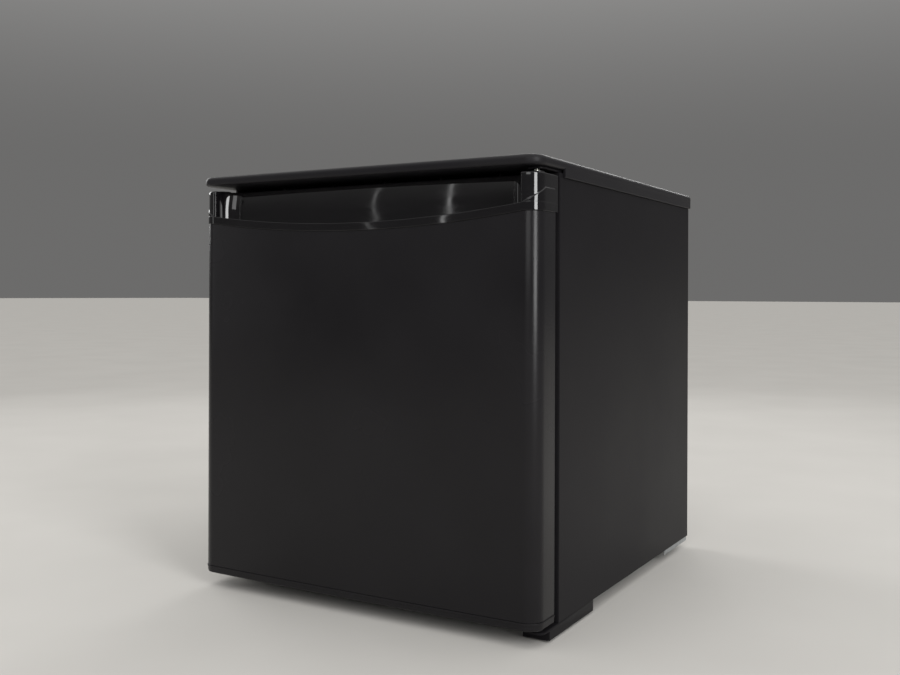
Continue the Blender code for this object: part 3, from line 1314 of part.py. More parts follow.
def make_hinges(trim, cap):
    """Brackets and pins stay on the cabinet; bushes and plugs sit in the door's caps."""
    lower_depth = CAP_TOP + CAP_TONGUE
    upper_low = DOOR_TOP - PIN_REACH
    for side, tag in ((1, "right"), (-1, "left")):
        cut(cap, hinge_hole("cut_cap_hole_" + tag, side * PIVOT_X, DOOR_LIFT - PASS, lower_depth + PASS))
        cut(trim, hinge_hole("cut_trim_hole_" + tag, side * PIVOT_X, upper_low - 0.0010, DOOR_TOP + PASS))

    bore = PIN_RADIUS + RUN
    low = BRACKET_TOP + TOUCH
    high = DOOR_LIFT - TOUCH
    top = lower_depth - 0.0010
    lower_bush = turned(
        "hinge_bush_lower", (PIVOT_X, PIVOT_Y),
        [(BUSH_FLANGE, low), (BUSH_FLANGE, high), (BUSH_RADIUS, high), (BUSH_RADIUS, top)], ROUND, NYLON,
    )
    cut(lower_bush, turned("cut_lower_bush", (PIVOT_X, PIVOT_Y), [(bore, low - PASS / 4), (bore, top + PASS)], ROUND))
    base = DOOR_TOP + TOUCH
    upper_bush = turned(
        "hinge_bush_upper", (PIVOT_X, PIVOT_Y),
        [(BUSH_RADIUS, upper_low), (BUSH_RADIUS, base), (BUSH_FLANGE, base), (BUSH_FLANGE, base + BUSH_RIM)],
        ROUND, NYLON,
    )
    hole = [(bore, upper_low - PASS), (bore, base + PASS)]
    cut(upper_bush, turned("cut_upper_bush", (PIVOT_X, PIVOT_Y), hole, ROUND))
    plug_low = turned(
        "door_plug_lower", (-PIVOT_X, PIVOT_Y),
        [(BUSH_FLANGE, DOOR_LIFT - BUSH_RIM), (BUSH_FLANGE, high), (BUSH_RADIUS, high), (BUSH_RADIUS, top)], 16,
        BLACK_MOULDED,
    )
    plug_high = turned(
        "door_plug_upper", (-PIVOT_X, PIVOT_Y),
        [(BUSH_RADIUS, upper_low), (BUSH_RADIUS, base), (BUSH_FLANGE, base), (BUSH_FLANGE, base + PLUG_RIM)], 16,
        BLACK_MOULDED,
    )

    neck = PIN_RADIUS * 0.8
    pin_low = BRACKET_LOW + TOUCH
    turned(
        "hinge_pin_lower", (PIVOT_X, PIVOT_Y),
        [(neck, pin_low), (neck, BRACKET_TOP + TOUCH), (PIN_RADIUS, BRACKET_TOP + TOUCH), (PIN_RADIUS, top - 0.0012),
         (PIN_RADIUS * 0.7, top)], ROUND, ZINC_STEEL,
    )
    plate_low = STEEL_TOP + TOUCH
    plate_high = plate_low + BRACKET_GAUGE
    turned(
        "hinge_pin_upper", (PIVOT_X, PIVOT_Y),
        [(PIN_RADIUS * 0.7, upper_low), (PIN_RADIUS, upper_low + 0.0012), (PIN_RADIUS, plate_low - TOUCH),
         (neck, plate_low - TOUCH), (neck, plate_high - TOUCH)], ROUND, ZINC_STEEL,
    )

    outer, inner = HALF, HALF - BRACKET_WIDTH
    rear = FRONT + BRACKET_LENGTH
    nose = PIVOT_Y - BRACKET_NOSE
    outline = [(outer, rear), (inner, rear), (inner, FRONT + 0.0100), (PIVOT_X - BRACKET_WAIST, FRONT - 0.0040)]
    outline += arc((PIVOT_X - 0.0030, nose + BRACKET_NOSE), BRACKET_NOSE, 180, 270, 3)
    outline += arc((outer - 0.0060, nose + 0.0060), 0.0060, 270, 360, 3)
    lower = prism("hinge_bracket_lower", outline, "Z", BRACKET_LOW, BRACKET_TOP, BLACK_STEEL)
    flange = box(
        "add_bracket_flange",
        (outer - BRACKET_GAUGE, FRONT - FLANGE_START, BRACKET_LOW - FLANGE_DROP),
        (outer, rear, BRACKET_TOP - 0.0004), None, 0.0004, 1,
    )
    lip = box(
        "add_bracket_lip",
        (outer - BRACKET_LIP, FRONT - FLANGE_START, BRACKET_LOW - FLANGE_DROP),
        (outer - BRACKET_GAUGE / 2, FRONT - FLANGE_START + BRACKET_GAUGE, BRACKET_TOP - 0.0004),
    )
    fuse(lower, flange, lip)
    pin_hole = turned(
        "cut_lower_pin_hole", (PIVOT_X, PIVOT_Y),
        [(neck + TOUCH, BRACKET_LOW - PASS), (neck + TOUCH, BRACKET_TOP + PASS / 10)], 12,
    )
    cut(lower, pin_hole, stud_hole("cut_right_stud", FOOT_X))

    front = PIVOT_Y - BRACKET_NOSE + 0.0010
    x0, x1 = PIVOT_X - UPPER_BRACKET_WIDTH + 0.0100, PIVOT_X + 0.0100
    outline = [(x1, FRONT + UPPER_BRACKET_LENGTH), (x0, FRONT + UPPER_BRACKET_LENGTH), (x0, FRONT - 0.0020)]
    outline += arc((PIVOT_X - 0.0010, front + BRACKET_NOSE), BRACKET_NOSE, 200, 270, 3)
    outline += arc((x1 - 0.0080, front + 0.0080), 0.0080, 270, 360, 3)
    upper = prism("hinge_bracket_upper", outline, "Z", plate_low, plate_high, BLACK_STEEL)
    pin_hole = turned(
        "cut_upper_pin_hole", (PIVOT_X, PIVOT_Y),
        [(neck + TOUCH, plate_low - PASS / 10), (neck + TOUCH, plate_high + PASS)], 12,
    )
    cut(upper, pin_hole)
    return [lower_bush, upper_bush, plug_low, plug_high]


def stud_hole(name, x):
    radius = STUD_RADIUS + RUN
    return turned(name, (x, FOOT_Y), [(radius, BRACKET_LOW - PASS), (radius, BRACKET_TOP + PASS / 10)], ROUND)


def make_feet(pan, foam):
    inner = HALF - BRACKET_WIDTH
    rear = FRONT + BRACKET_LENGTH
    front = FRONT + PLINTH_BEHIND + PLINTH_WALL + PLINTH_LIP + TOUCH
    left = box(
        "foot_bracket_left", (-HALF, front, BRACKET_LOW), (-inner, rear, BRACKET_TOP), BLACK_STEEL,
    )
    rib = box(
        "add_left_flange", (-HALF, front, BRACKET_LOW - 0.0040), (-HALF + BRACKET_GAUGE, rear, BRACKET_TOP - 0.0004),
    )
    fuse(left, rib)
    cut(left, stud_hole("cut_left_stud", -FOOT_X))

    socket = FOOT_HEIGHT - FOOT_SOCKET
    stud_low = socket + TOUCH
    stud_high = stud_low + STUD_LENGTH
    wide = STUD_RADIUS + 3 * TOUCH
    for side, tag in ((1, "right"), (-1, "left")):
        x = side * FOOT_X
        way = turned("cut_stud_way_" + tag, (x, FOOT_Y), [(wide, BOTTOM - PASS), (wide, stud_high + 0.0020)], 16)
        cut(pan, way)
        cut(foam, way)
        stud = turned(
            "foot_stud_" + tag, (x, FOOT_Y),
            [(STUD_RADIUS, stud_low), (STUD_RADIUS, stud_high - 0.001), (STUD_RADIUS * 0.75, stud_high)],
            ROUND, ZINC_STEEL,
        )
        r = FOOT_RADIUS
        pad = turned(
            "foot_pad_" + tag, (x, FOOT_Y),
            [(r * 0.92, 0.0), (r, 0.0010), (r, 0.0045), (r * 0.70, 0.0055), (r * 0.62, FOOT_HEIGHT)],
            20, BLACK_MOULDED,
        )
        cut(pad, turned(
            "cut_pad_socket_" + tag, (x, FOOT_Y),
            [(STUD_RADIUS + TOUCH, socket), (STUD_RADIUS + TOUCH, FOOT_HEIGHT + PASS / 5)], ROUND,
        ))
        hang([stud, pad], "foot_axis_" + tag, (x, FOOT_Y, 0.0))

    plate_under = BASE_TOP - PLATE_GAUGE - TOUCH
    for side, tag in ((1, "right"), (-1, "left")):
        x = side * (HALF - REAR_FOOT_INSET)
        r = REAR_FOOT_RADIUS
        turned(
            "rear_foot_" + tag, (x, BACK - REAR_FOOT_AHEAD),
            [(r * 0.85, 0.0), (r, 0.0020), (r, plate_under)], 16, RUBBER,
        )

    x0 = -HALF + PLINTH_LEFT
    x1 = HALF - BRACKET_WIDTH - TOUCH
    y0 = FRONT + PLINTH_BEHIND
    high = BRACKET_TOP
    angle = [
        (y0, PLINTH_LIFT), (y0 + PLINTH_WALL, PLINTH_LIFT), (y0 + PLINTH_WALL, high - PLINTH_WALL),
        (y0 + PLINTH_WALL + PLINTH_LIP, high - PLINTH_WALL), (y0 + PLINTH_WALL + PLINTH_LIP, high), (y0, high),
    ]
    prism("front_plinth", angle, "X", x0, x1, BLACK_MOULDED)


def make_door():
    panel = make_door_panel()
    trim = make_trim()
    cap = make_cap()
    inner = DOOR_SKIN + TOUCH
    rear = LINER_FACE - TOUCH
    foam_low = CAP_TOP + CAP_TONGUE + TOUCH
    foam = loft("door_insulation", [door_ring(inner, rear, foam_low), door_ring(inner, rear, TRIM_LOW - TOUCH)], FOAM)
    liner = make_door_liner()
    gasket = make_gasket()
    racks = make_racks()
    fittings = make_hinges(trim, cap)
    hang([panel, trim, cap, foam, liner, gasket] + racks + fittings, "door_axis", (PIVOT_X, PIVOT_Y, 0.0))


def build():
    clear_scene()
    pan, foam = make_cabinet()
    liner = make_liner()
    make_worktop()
    trough, drain_y, trough_low = make_cooling()
    make_drain(trough, drain_y, trough_low, liner, foam, pan)
    make_niche(foam, pan)
    make_shelves()
    make_thermostat()
    make_door()
    make_feet(pan, foam)


build()
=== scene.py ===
import json
import math

import bmesh
import bpy
import numpy as np
from mathutils import Matrix, Vector


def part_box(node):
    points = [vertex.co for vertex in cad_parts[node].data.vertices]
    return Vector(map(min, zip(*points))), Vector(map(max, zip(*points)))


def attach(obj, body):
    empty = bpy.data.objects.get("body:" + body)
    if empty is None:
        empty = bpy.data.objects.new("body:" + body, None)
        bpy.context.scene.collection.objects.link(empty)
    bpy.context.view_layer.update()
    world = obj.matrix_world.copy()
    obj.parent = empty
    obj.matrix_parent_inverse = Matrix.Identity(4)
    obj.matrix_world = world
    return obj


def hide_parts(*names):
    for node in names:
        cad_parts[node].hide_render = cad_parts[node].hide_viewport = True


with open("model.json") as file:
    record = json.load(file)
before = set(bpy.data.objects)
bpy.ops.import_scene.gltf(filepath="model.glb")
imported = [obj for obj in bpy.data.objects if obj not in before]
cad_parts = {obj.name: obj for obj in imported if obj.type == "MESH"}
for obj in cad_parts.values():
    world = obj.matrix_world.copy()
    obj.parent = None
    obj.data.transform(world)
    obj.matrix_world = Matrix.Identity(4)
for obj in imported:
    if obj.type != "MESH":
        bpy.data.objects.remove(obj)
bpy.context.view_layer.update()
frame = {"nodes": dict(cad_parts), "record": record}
nodes = frame["nodes"]
record = frame["record"]
bodyOf = {name: body for body, names in record["behaviour"]["bodies"].items() for name in names}
slotOf = {part["node"]: part["material_slot"] for part in record["subparts"]}
print("frame loaded:", len(nodes), "nodes")

# camera at the photograph's place: level, turned 30 degrees to the left, tilted a little about its own axis
camera = {
    "place": (0.6557, -1.15875, 0.3569), "turn": 30.30, "tilt": 0.2, "lens": 40.23, "sensor": 36.0,
    "shiftY": -0.0478, "nearest": 0.01,
}


def makeCamera(c):
    data = bpy.data.cameras.new("camera")
    data.lens = c["lens"]
    data.sensor_width = c["sensor"]
    data.shift_y = c["shiftY"]
    data.clip_start = c["nearest"]
    eye = bpy.data.objects.new("camera", data)
    turn = Matrix.Rotation(math.radians(c["turn"]), 4, "Z") @ Matrix.Rotation(math.radians(90), 4, "X")
    tilt = Matrix.Rotation(math.radians(c["tilt"]), 4, "Z")
    eye.matrix_world = Matrix.Translation(c["place"]) @ turn @ tilt
    bpy.context.scene.collection.objects.link(eye)
    bpy.context.scene.camera = eye


makeCamera(camera)
bpy.context.scene.view_settings.view_transform = "Standard"


def toLinear(hexColour):
    # sRGB hex to linear light: c / 12.92 where it is dark, elsewhere ((c + 0.055) / 1.055) ^ 2.4
    parts = [int(hexColour[i:i + 2], 16) / 255 for i in (1, 3, 5)]
    return tuple(p / 12.92 if p <= 0.04045 else ((p + 0.055) / 1.055) ** 2.4 for p in parts) + (1.0,)


def addNode(tree, kind, settings=None, links=None):
    # one node, its settings by name and its links as input: (node, output)
    node = tree.nodes.new(kind)
    for key, value in (settings or {}).items():
        if hasattr(node, key):
            setattr(node, key, value)
        else:
            node.inputs[key].default_value = value
    for key, (source, output) in (links or {}).items():
        tree.links.new(source.outputs[output], node.inputs[key])
    return node


# how a pattern is laid out; "lump" is how large its lumps or cells are at scale 1, in the mapping's own units
noise = {"texture": "Noise", "output": "Fac", "detail": 2.0, "stretch": (1, 1, 1), "lump": 2.2}
cells = {"texture": "Voronoi", "output": "Distance", "detail": 0.0, "stretch": (1, 1, 1), "lump": 1.0}
usualReach = (0.3, 0.7)    # the part of a pattern's range over which tones and roughness change


def makeFinish(name, patterns, tone, rough=None, bumps=(), values=None):
    # a material from patterns sized in millimetres. tone is (pattern, dark, light) and rough (pattern, low,
    # high), each followed by its reach if that isn't the usual one. bumps are (pattern, depth in mm,
    # strength), each laid over the one before
    material = bpy.data.materials.new(name)
    material.use_nodes = True
    tree = material.node_tree
    shader = tree.nodes["Principled BSDF"]
    for socket, value in (values or {}).items():
        shader.inputs[socket].default_value = value
    place = addNode(tree, "ShaderNodeTexCoord")
    made = {}
    for key, p in patterns.items():
        scale = 1000 / (p["lump"] * p["size"])
        stretched = [scale * share for share in p["stretch"]]
        mapping = addNode(tree, "ShaderNodeMapping", {"Scale": stretched}, {"Vector": (place, "Object")})
        settings = {"Scale": 1.0, "Detail": p["detail"]}
        texture = addNode(tree, "ShaderNodeTex" + p["texture"], settings, {"Vector": (mapping, "Vector")})
        made[key] = (texture, p["output"])
    key, dark, light, *reach = tone
    ramp = addNode(tree, "ShaderNodeValToRGB", None, {"Fac": made[key]})
    for element, position, colour in zip(ramp.color_ramp.elements, reach or usualReach, (dark, light)):
        element.position = position
        element.color = toLinear(colour)
    tree.links.new(ramp.outputs["Color"], shader.inputs["Base Color"])
    if rough:
        key, low, high, *reach = rough
        fromLow, fromHigh = reach or usualReach
        limits = {"From Min": fromLow, "From Max": fromHigh, "To Min": low, "To Max": high}
        level = addNode(tree, "ShaderNodeMapRange", limits, {"Value": made[key]})
        tree.links.new(level.outputs["Result"], shader.inputs["Roughness"])
    under = {}
    for key, depthMm, strength in bumps:
        settings = {"Strength": strength, "Distance": depthMm / 1000}
        bump = addNode(tree, "ShaderNodeBump", settings, {"Height": made[key], **under})
        under = {"Normal": (bump, "Normal")}
        tree.links.new(bump.outputs["Normal"], shader.inputs["Normal"])
    return material


def texturedBlackPaint(name, sheen, roughness):
    # prepainted steel with a fine pebbled film: black, satin, with a soft highlight as bright as the sheen
    patterns = {
        "patches": dict(noise, size=60, detail=3.0),    # slow changes of sheen over the sheet
        "pebbles": dict(noise, size=1.1),    # 0.4 mm on the real film, drawn coarser so that they show
    }
    return makeFinish(
        name, patterns, ("patches", "#171618", "#1b1a1c"), ("patches", roughness - 0.03, roughness + 0.04),
        [("patches", 0.25, 0.35), ("pebbles", 0.05, 0.7)], {"Specular IOR Level": sheen},
    )


def mouldedWorktop():
    # moulded polystyrene with an eroded grain: black, low sheen
    patterns = {
        "cloud": dict(noise, size=45, detail=3.0),
        "sand": dict(noise, size=0.9),    # the mould's grain is 0.3 mm, drawn coarser so that it shows
    }
    return makeFinish(
        "mouldedPolystyreneBlack", patterns, ("cloud", "#18171a", "#1d1c1e"), ("cloud", 0.40, 0.45),
        [("sand", 0.04, 0.5)], {"Specular IOR Level": 0.15},
    )


def glossTrim():
    # polished ABS: deep black with clear reflections, shallow flow waves and faint wiping marks
    patterns = {
        "wipes": dict(noise, size=3.0, detail=4.0, stretch=(0.15, 1, 1)),
        "swell": dict(noise, size=14, detail=1.0),
    }
    return makeFinish(
        "polishedAbsBlack", patterns, ("wipes", "#0e0d0f", "#121113"), ("wipes", 0.03, 0.06),
        [("swell", 0.10, 0.18)],
    )


def mouldedBlack():
    # black ABS with a matt eroded grain, for the cap, plinth, tray and other small mouldings
    patterns = {"cloud": dict(noise, size=25), "sand": dict(noise, size=0.7)}
    return makeFinish(
        "mouldedAbsBlack", patterns, ("cloud", "#161517", "#1c1b1d"), ("cloud", 0.34, 0.46),
        [("sand", 0.03, 0.5)], {"Specular IOR Level": 0.2},
    )


def galvanisedSheet():
    # hot-dip galvanised steel: grey spangles about 6 mm across, each with its own sheen, and a little dirt
    patterns = {"spangles": dict(cells, size=6.0, output="Color"), "dirt": dict(noise, size=2.0)}
    return makeFinish(
        "galvanisedSteel", patterns, ("spangles", "#a9adb0", "#c3c6c8", 0.1, 0.9),
        ("spangles", 0.42, 0.58, 0.1, 0.9), [("dirt", 0.03, 0.3)], {"Metallic": 1.0},
    )


def blackEnamel():
    # baked black enamel over a rough pressed shell: glossy, with orange peel and dust
    patterns = {"dust": dict(noise, size=20, detail=4.0), "peel": dict(noise, size=2.5)}
    return makeFinish(
        "bakedEnamelBlack", patterns, ("dust", "#141315", "#242325"), ("dust", 0.2, 0.42),
        [("peel", 0.12, 0.6)],
    )


def whiteLiner():
    # thermoformed polystyrene: white, slightly warm, satin, with the faint waves of a stretched sheet
    patterns = {"waves": dict(noise, size=40), "fine": dict(noise, size=1.6)}
    return makeFinish(
        "thermoformedPolystyreneWhite", patterns, ("waves", "#e8e9e7", "#ebecea", 0.1, 0.9),
        ("waves", 0.29, 0.33), [("waves", 0.1, 0.1), ("fine", 0.03, 0.3)], {"IOR": 1.59},
    )


def coatedWire():
    # steel wire dipped in white plastic: smooth and slightly lumpy
    return makeFinish(
        "plasticCoatedWireWhite", {"lumps": dict(noise, size=5)}, ("lumps", "#e1e2e1", "#ebecea"),
        ("lumps", 0.26, 0.4), [("lumps", 0.15, 0.4)],
    )


def clearRack():
    # clear polystyrene, injection moulded: see-through with a cool tint and faint flow lines
    return makeFinish(
        "clearPolystyrene", {"flow": dict(noise, size=9, detail=3.0, stretch=(1, 1, 0.3))},
        ("flow", "#e2ecef", "#f2f7f8"), ("flow", 0.04, 0.14), [("flow", 0.1, 0.2)],
        {"IOR": 1.59, "Transmission Weight": 0.88},
    )


def foam():
    # rigid polyurethane foam: pale ochre, matt, with small open cells on a cut face; each cell is painted
    # darker towards its middle as painted shade in its pit
    return makeFinish(
        # the dark tone at each cell's middle is painted shade where the bump sinks the pit
        "rigidPolyurethaneFoam", {"open": dict(cells, size=1.5)}, ("open", "#b89d62", "#e2cf9c", 0.05, 0.6),
        None, [("open", 0.4, 0.7)], {"Roughness": 0.9},
    )


def rubber():
    # EPDM rubber: black, dull, with a dusty bloom
    return makeFinish(
        "epdmRubber", {"bloom": dict(noise, size=6, detail=4.0)}, ("bloom", "#1d1d1e", "#2e2e2f"),
        ("bloom", 0.65, 0.85), [("bloom", 0.05, 0.5)],
    )


def gasketVinyl():
    # soft extruded PVC: dark grey, matt and slightly uneven
    return makeFinish(
        "softVinylDarkGrey", {"mottle": dict(noise, size=2.0, detail=3.0)}, ("mottle", "#303032", "#3b3b3d"),
        ("mottle", 0.48, 0.62), [("mottle", 0.05, 0.4)],
    )


def drawnCopper():
    # drawn copper tube: warm, slightly dulled by handling, with darker patches
    return makeFinish(
        "drawnCopper", {"stain": dict(noise, size=12, detail=4.0)},
        ("stain", "#8e5233", "#d29470", 0.32, 0.6), ("stain", 0.42, 0.24), [("stain", 0.04, 0.3)],
        {"Metallic": 1.0},
    )


def rolledAluminium():
    # roll-bonded aluminium sheet: pale, with rolling lines across and a frosty film
    patterns = {
        "lines": dict(noise, size=0.8, detail=3.0, stretch=(0.03, 1, 1)),
        "film": dict(noise, size=22, detail=4.0),
    }
    return makeFinish(
        "rolledAluminium", patterns, ("lines", "#c2c6c9", "#dadddf"), ("film", 0.3, 0.5),
        [("lines", 0.02, 0.4)], {"Metallic": 1.0},
    )


def zincPlate():
    # bright zinc plating on turned or pressed steel: cool grey with a faint yellow cast
    return makeFinish(
        "zincPlatedSteel", {"cast": dict(noise, size=7, detail=3.0)}, ("cast", "#aeb0ae", "#c6c4b8"),
        ("cast", 0.24, 0.4), [("cast", 0.03, 0.3)], {"Metallic": 1.0},
    )


def nylon():
    # black polyamide, injection moulded: waxy, with a fine grain
    return makeFinish(
        "polyamideBlack", {"cloud": dict(noise, size=5, detail=3.0)}, ("cloud", "#1b1a1c", "#242325"),
        ("cloud", 0.36, 0.5), [("cloud", 0.03, 0.3)], {"IOR": 1.53},
    )


finishes = {
    "black_steel": texturedBlackPaint("prepaintedSteelBlack", 0.06, 0.37), "black_moulded": mouldedBlack(),
    "gloss_black": glossTrim(), "galvanised": galvanisedSheet(), "black_paint": blackEnamel(),
    "white_liner": whiteLiner(), "white_wire": coatedWire(), "clear_rack": clearRack(), "foam": foam(),
    "rubber": rubber(), "gasket_grey": gasketVinyl(), "copper": drawnCopper(), "aluminium": rolledAluminium(),
    "zinc_steel": zincPlate(), "nylon": nylon(),
}
print("finishes made for the record's slots:", len(finishes))


def dress(name, mesh, body, slot, standsFor=(), finish=None):
    # links a finished piece, gives it its finish and lets it ride on its body
    piece = bpy.data.objects.new(name, mesh)
    bpy.context.scene.collection.objects.link(piece)
    mesh.materials.append(finish or finishes[slot])
    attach(piece, body)
    if standsFor:
        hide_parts(*standsFor)


# doubles closer than the welds, in metres, are merged, in new meshes and in copies of the frame's. In a copy
# the faces that meet below "flat" degrees are joined, edges above "steep" are rounded in "segments" strips,
# and edges above "sharp" aren't shaded smooth
meshing = {"weld": 0.000002, "copyWeld": 0.00001, "flat": 0.6, "steep": 50.0, "sharp": 32.0, "segments": 2}


def shaded(mesh, sharpFrom):
    # smooth but for the edges above the given angle
    mesh.shade_smooth()
    mesh.set_sharp_from_angle(angle=math.radians(sharpFrom))
    return mesh


def meshFrom(name, points, faces, sharpFrom):
    # a mesh from an array of points and lists of point numbers
    mesh = bpy.data.meshes.new(name)
    mesh.from_pydata(points.tolist(), [], faces)
    work = bmesh.new()
    work.from_mesh(mesh)
    bmesh.ops.remove_doubles(work, verts=work.verts, dist=meshing["weld"])
    bmesh.ops.recalc_face_normals(work, faces=work.faces)
    work.to_mesh(mesh)
    work.free()
    return shaded(mesh, sharpFrom)


def refinedCopy(node, bevelMm):
    # a CAD node's shape with its loose triangles merged and its steep edges rounded
    work = bmesh.new()
    work.from_mesh(nodes[node].data)
    flat, steep = math.radians(meshing["flat"]), math.radians(meshing["steep"])
    bmesh.ops.remove_doubles(work, verts=work.verts, dist=meshing["copyWeld"])
    bmesh.ops.dissolve_limit(work, angle_limit=flat, verts=work.verts, edges=work.edges)
    if bevelMm:
        edges = [e for e in work.edges if len(e.link_faces) == 2 and e.calc_face_angle(0.0) > steep]
        bmesh.ops.bevel(
            work, geom=edges, offset=bevelMm / 1000, segments=meshing["segments"], profile=0.5,
            affect="EDGES", clamp_overlap=True,
        )
    mesh = bpy.data.meshes.new(node + "Shape")
    work.to_mesh(mesh)
    work.free()
    return shaded(mesh, meshing["sharp"])


def mmBox(node):
    # the node's lowest and highest corner in millimetres
    low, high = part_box(node)
    return np.array(low) * 1000, np.array(high) * 1000


def roundCorners(corners, cuts, steps, closed=False):
    # rounds the corners of one polyline per station, corners being (stations, corners, 2)
    # each becomes the curve (1-t)^2 a + 2t(1-t) b + t^2 c, where a and c lie a cut's length from corner b
    longest = 0.48    # of the shorter side beside a corner, so that two cuts never meet
    count = corners.shape[1]
    curve = [((1 - t) ** 2, 2 * t * (1 - t), t ** 2) for t in np.linspace(0, 1, steps + 1)]
    rows = []
    for i in range(count):
        corner = corners[:, i]
        if not closed and i in (0, count - 1) or cuts[i] <= 0:
            rows.append(corner)
            continue
        before, after = corners[:, i - 1], corners[:, (i + 1) % count]
        back = np.linalg.norm(before - corner, axis=1, keepdims=True) + 1e-9
        ahead = np.linalg.norm(after - corner, axis=1, keepdims=True) + 1e-9
        cut = np.minimum(cuts[i], longest * np.minimum(back, ahead))
        a = corner + (before - corner) / back * cut
        c = corner + (after - corner) / ahead * cut
        rows += [ofA * a + ofCorner * corner + ofC * c for ofA, ofCorner, ofC in curve]
    return np.stack(rows, 1)


def atStations(corners, x):
    # corners as (reach, height), each a number or an array over the stations at x, as (stations, corners, 2)
    return np.stack([np.stack([reach + 0 * x, height + 0 * x], 1) for reach, height in corners], 1)


def skin(rings, closedAlong=False):
    # (points, faces) of a skin over rings (rows, points, 3), each closed on itself, with a cap on both ends
    rings = np.asarray(rings, float)
    rows, columns = rings.shape[:2]
    row, column = np.meshgrid(np.arange(rows if closedAlong else rows - 1), np.arange(columns), indexing="ij")
    nextRow, nextColumn = (row + 1) % rows, (column + 1) % columns
    corners = [(row, column), (row, nextColumn), (nextRow, nextColumn), (nextRow, column)]
    faces = np.stack([r * columns + c for r, c in corners], -1).reshape(-1, 4).tolist()
    if not closedAlong:
        faces += [list(range(columns)), list(range((rows - 1) * columns, rows * columns))]
    return rings.reshape(-1, 3), faces


def wall(outer, inner, root, edge, cuts, axis):
    # a thin wall between two paths of (points, 2), from root to edge along the given axis, with cut edges
    share = np.array([0.0, 0.0, 0.2, 0.8, 1.0, 1.0])
    back = math.copysign(1.0, root - edge)
    level = np.array([root, edge + cuts[0] * back, edge, edge, edge + cuts[1] * back, root])
    flat = outer[:, None] + share[:, None] * (inner - outer)[:, None]
    return skin(np.insert(flat, axis, level, axis=2))


def tube(path, radius, sides, closed=False):
    # a round wire along a path: circles stand square to it and are carried on without twist
    path = np.asarray(path, float)
    ahead = np.roll(path, -1, 0) - path
    behind = path - np.roll(path, 1, 0)
    if not closed:
        ahead[-1], behind[0] = behind[-1], ahead[0]
    ahead, behind = [way / np.linalg.norm(way, axis=1, keepdims=True) for way in (ahead, behind)]
    heading = ahead + behind
    heading /= np.linalg.norm(heading, axis=1, keepdims=True)
    side = np.cross(heading[0], (0.0, 0.0, 1.0))
    if np.linalg.norm(side) < 0.1:
        side = np.cross(heading[0], (0.0, 1.0, 0.0))
    turns = np.linspace(0, 2 * np.pi, sides, endpoint=False)
    rings = []
    for spot, way in zip(path, heading):
        side = side - way * side.dot(way)
        side /= np.linalg.norm(side)
        up = np.cross(side, way)
        rings.append(spot + radius * (np.cos(turns)[:, None] * side + np.sin(turns)[:, None] * up))
    return skin(rings, closed)


def roundedPath(points, radius, steps=6):
    # a route through the points with its corners turned on quadratic curves, after the rule of roundCorners
    points = np.asarray(points, float)[None]
    return roundCorners(points, [radius] * points.shape[1], steps)[0]


def rectanglePath(x0, x1, y0, y1, radius, steps):
    # a rectangle with round corners, from its lower right corner anticlockwise
    turns = np.radians(np.linspace(0, 90, steps + 1))
    right, left, low, high = x1 - radius, x0 + radius, y0 + radius, y1 - radius
    arcs = []
    for cx, cy, start in ((right, low, -90), (right, high, 0), (left, high, 90), (left, low, 180)):
        angles = turns + np.radians(start)
        arcs.append(np.stack([cx + radius * np.cos(angles), cy + radius * np.sin(angles)], 1))
    return np.concatenate(arcs)


ownPiece = set()    # nodes that have a piece of their own here


def make(name, parts, body, slot, standsFor=(), sharpFrom=30.0, finish=None):
    # one mesh from several (points, faces) in millimetres, placed and dressed
    points, faces, start = [], [], 0
    for somePoints, someFaces in parts:
        points.append(somePoints)
        faces += [[i + start for i in face] for face in someFaces]
        start += len(somePoints)
    ownPiece.update(standsFor)
    mesh = meshFrom(name, np.concatenate(points) / 1000, faces, sharpFrom)
    dress(name, mesh, body, slot, standsFor, finish)


# door: outline seen from above, shared by its skin, trim and bottom cap
doorShape = {"corner": 17.0, "bow": 2.2, "faceSteps": 64, "cornerSteps": 14}
panelLow, panelHigh = mmBox("door_panel")
trimLow, trimHigh = mmBox("door_top_trim")
capLow, capHigh = mmBox("door_bottom_cap")
doorHalf, doorFace, doorEdge = panelHigh[0], panelLow[1], panelHigh[1]
doorTurnX = doorHalf - doorShape["corner"]


def faceDepth(x):
    # y of the bowed face: doorFace + bow * (x / half)^2
    return doorFace + doorShape["bow"] * (x / doorHalf) ** 2


def doorStations(rear, faceX=None):
    # points of the outline from the right rear corner round to the left, and the way out of the door at each
    r = doorShape["corner"]
    turnY = faceDepth(doorTurnX) + r
    turns = np.radians(np.linspace(0, -90, doorShape["cornerSteps"] + 1))
    outRight = np.stack([np.cos(turns), np.sin(turns)], 1)
    right = np.array([doorTurnX, turnY]) + r * outRight
    if faceX is None:
        faceX = np.linspace(doorTurnX, -doorTurnX, doorShape["faceSteps"] + 1)[1:-1]
    face = np.stack([faceX, faceDepth(faceX)], 1)
    mirror = np.array([-1.0, 1.0])
    rearRight = np.array([[doorHalf, rear], [doorHalf, (rear + turnY) / 2]])
    spots = np.concatenate([rearRight, right, face, right[::-1] * mirror, rearRight[::-1] * mirror])
    sideways = np.array([[1.0, 0.0]] * 2)
    forward = np.tile([0.0, -1.0], (len(face), 1))
    out = np.concatenate([sideways, outRight, forward, outRight[::-1] * mirror, sideways * mirror])
    return spots, out


def doorRings(spots, out, profile, rearPoints=()):
    # rings for the skin: profile (stations, points, 2) holds the reach outwards and the height, and each rear
    # point is (row, y, z), its x taken from that row of the profile
    flat = spots[:, None] + out[:, None] * profile[..., :1]
    rings = np.concatenate([flat, profile[..., 1:]], 2)
    rear = np.empty((len(spots), len(rearPoints), 3))
    for i, (row, y, z) in enumerate(rearPoints):
        rear[:, i, 0] = rings[:, row, 0]
        rear[:, i, 1:] = y, z
    return np.concatenate([rings, rear], 1)


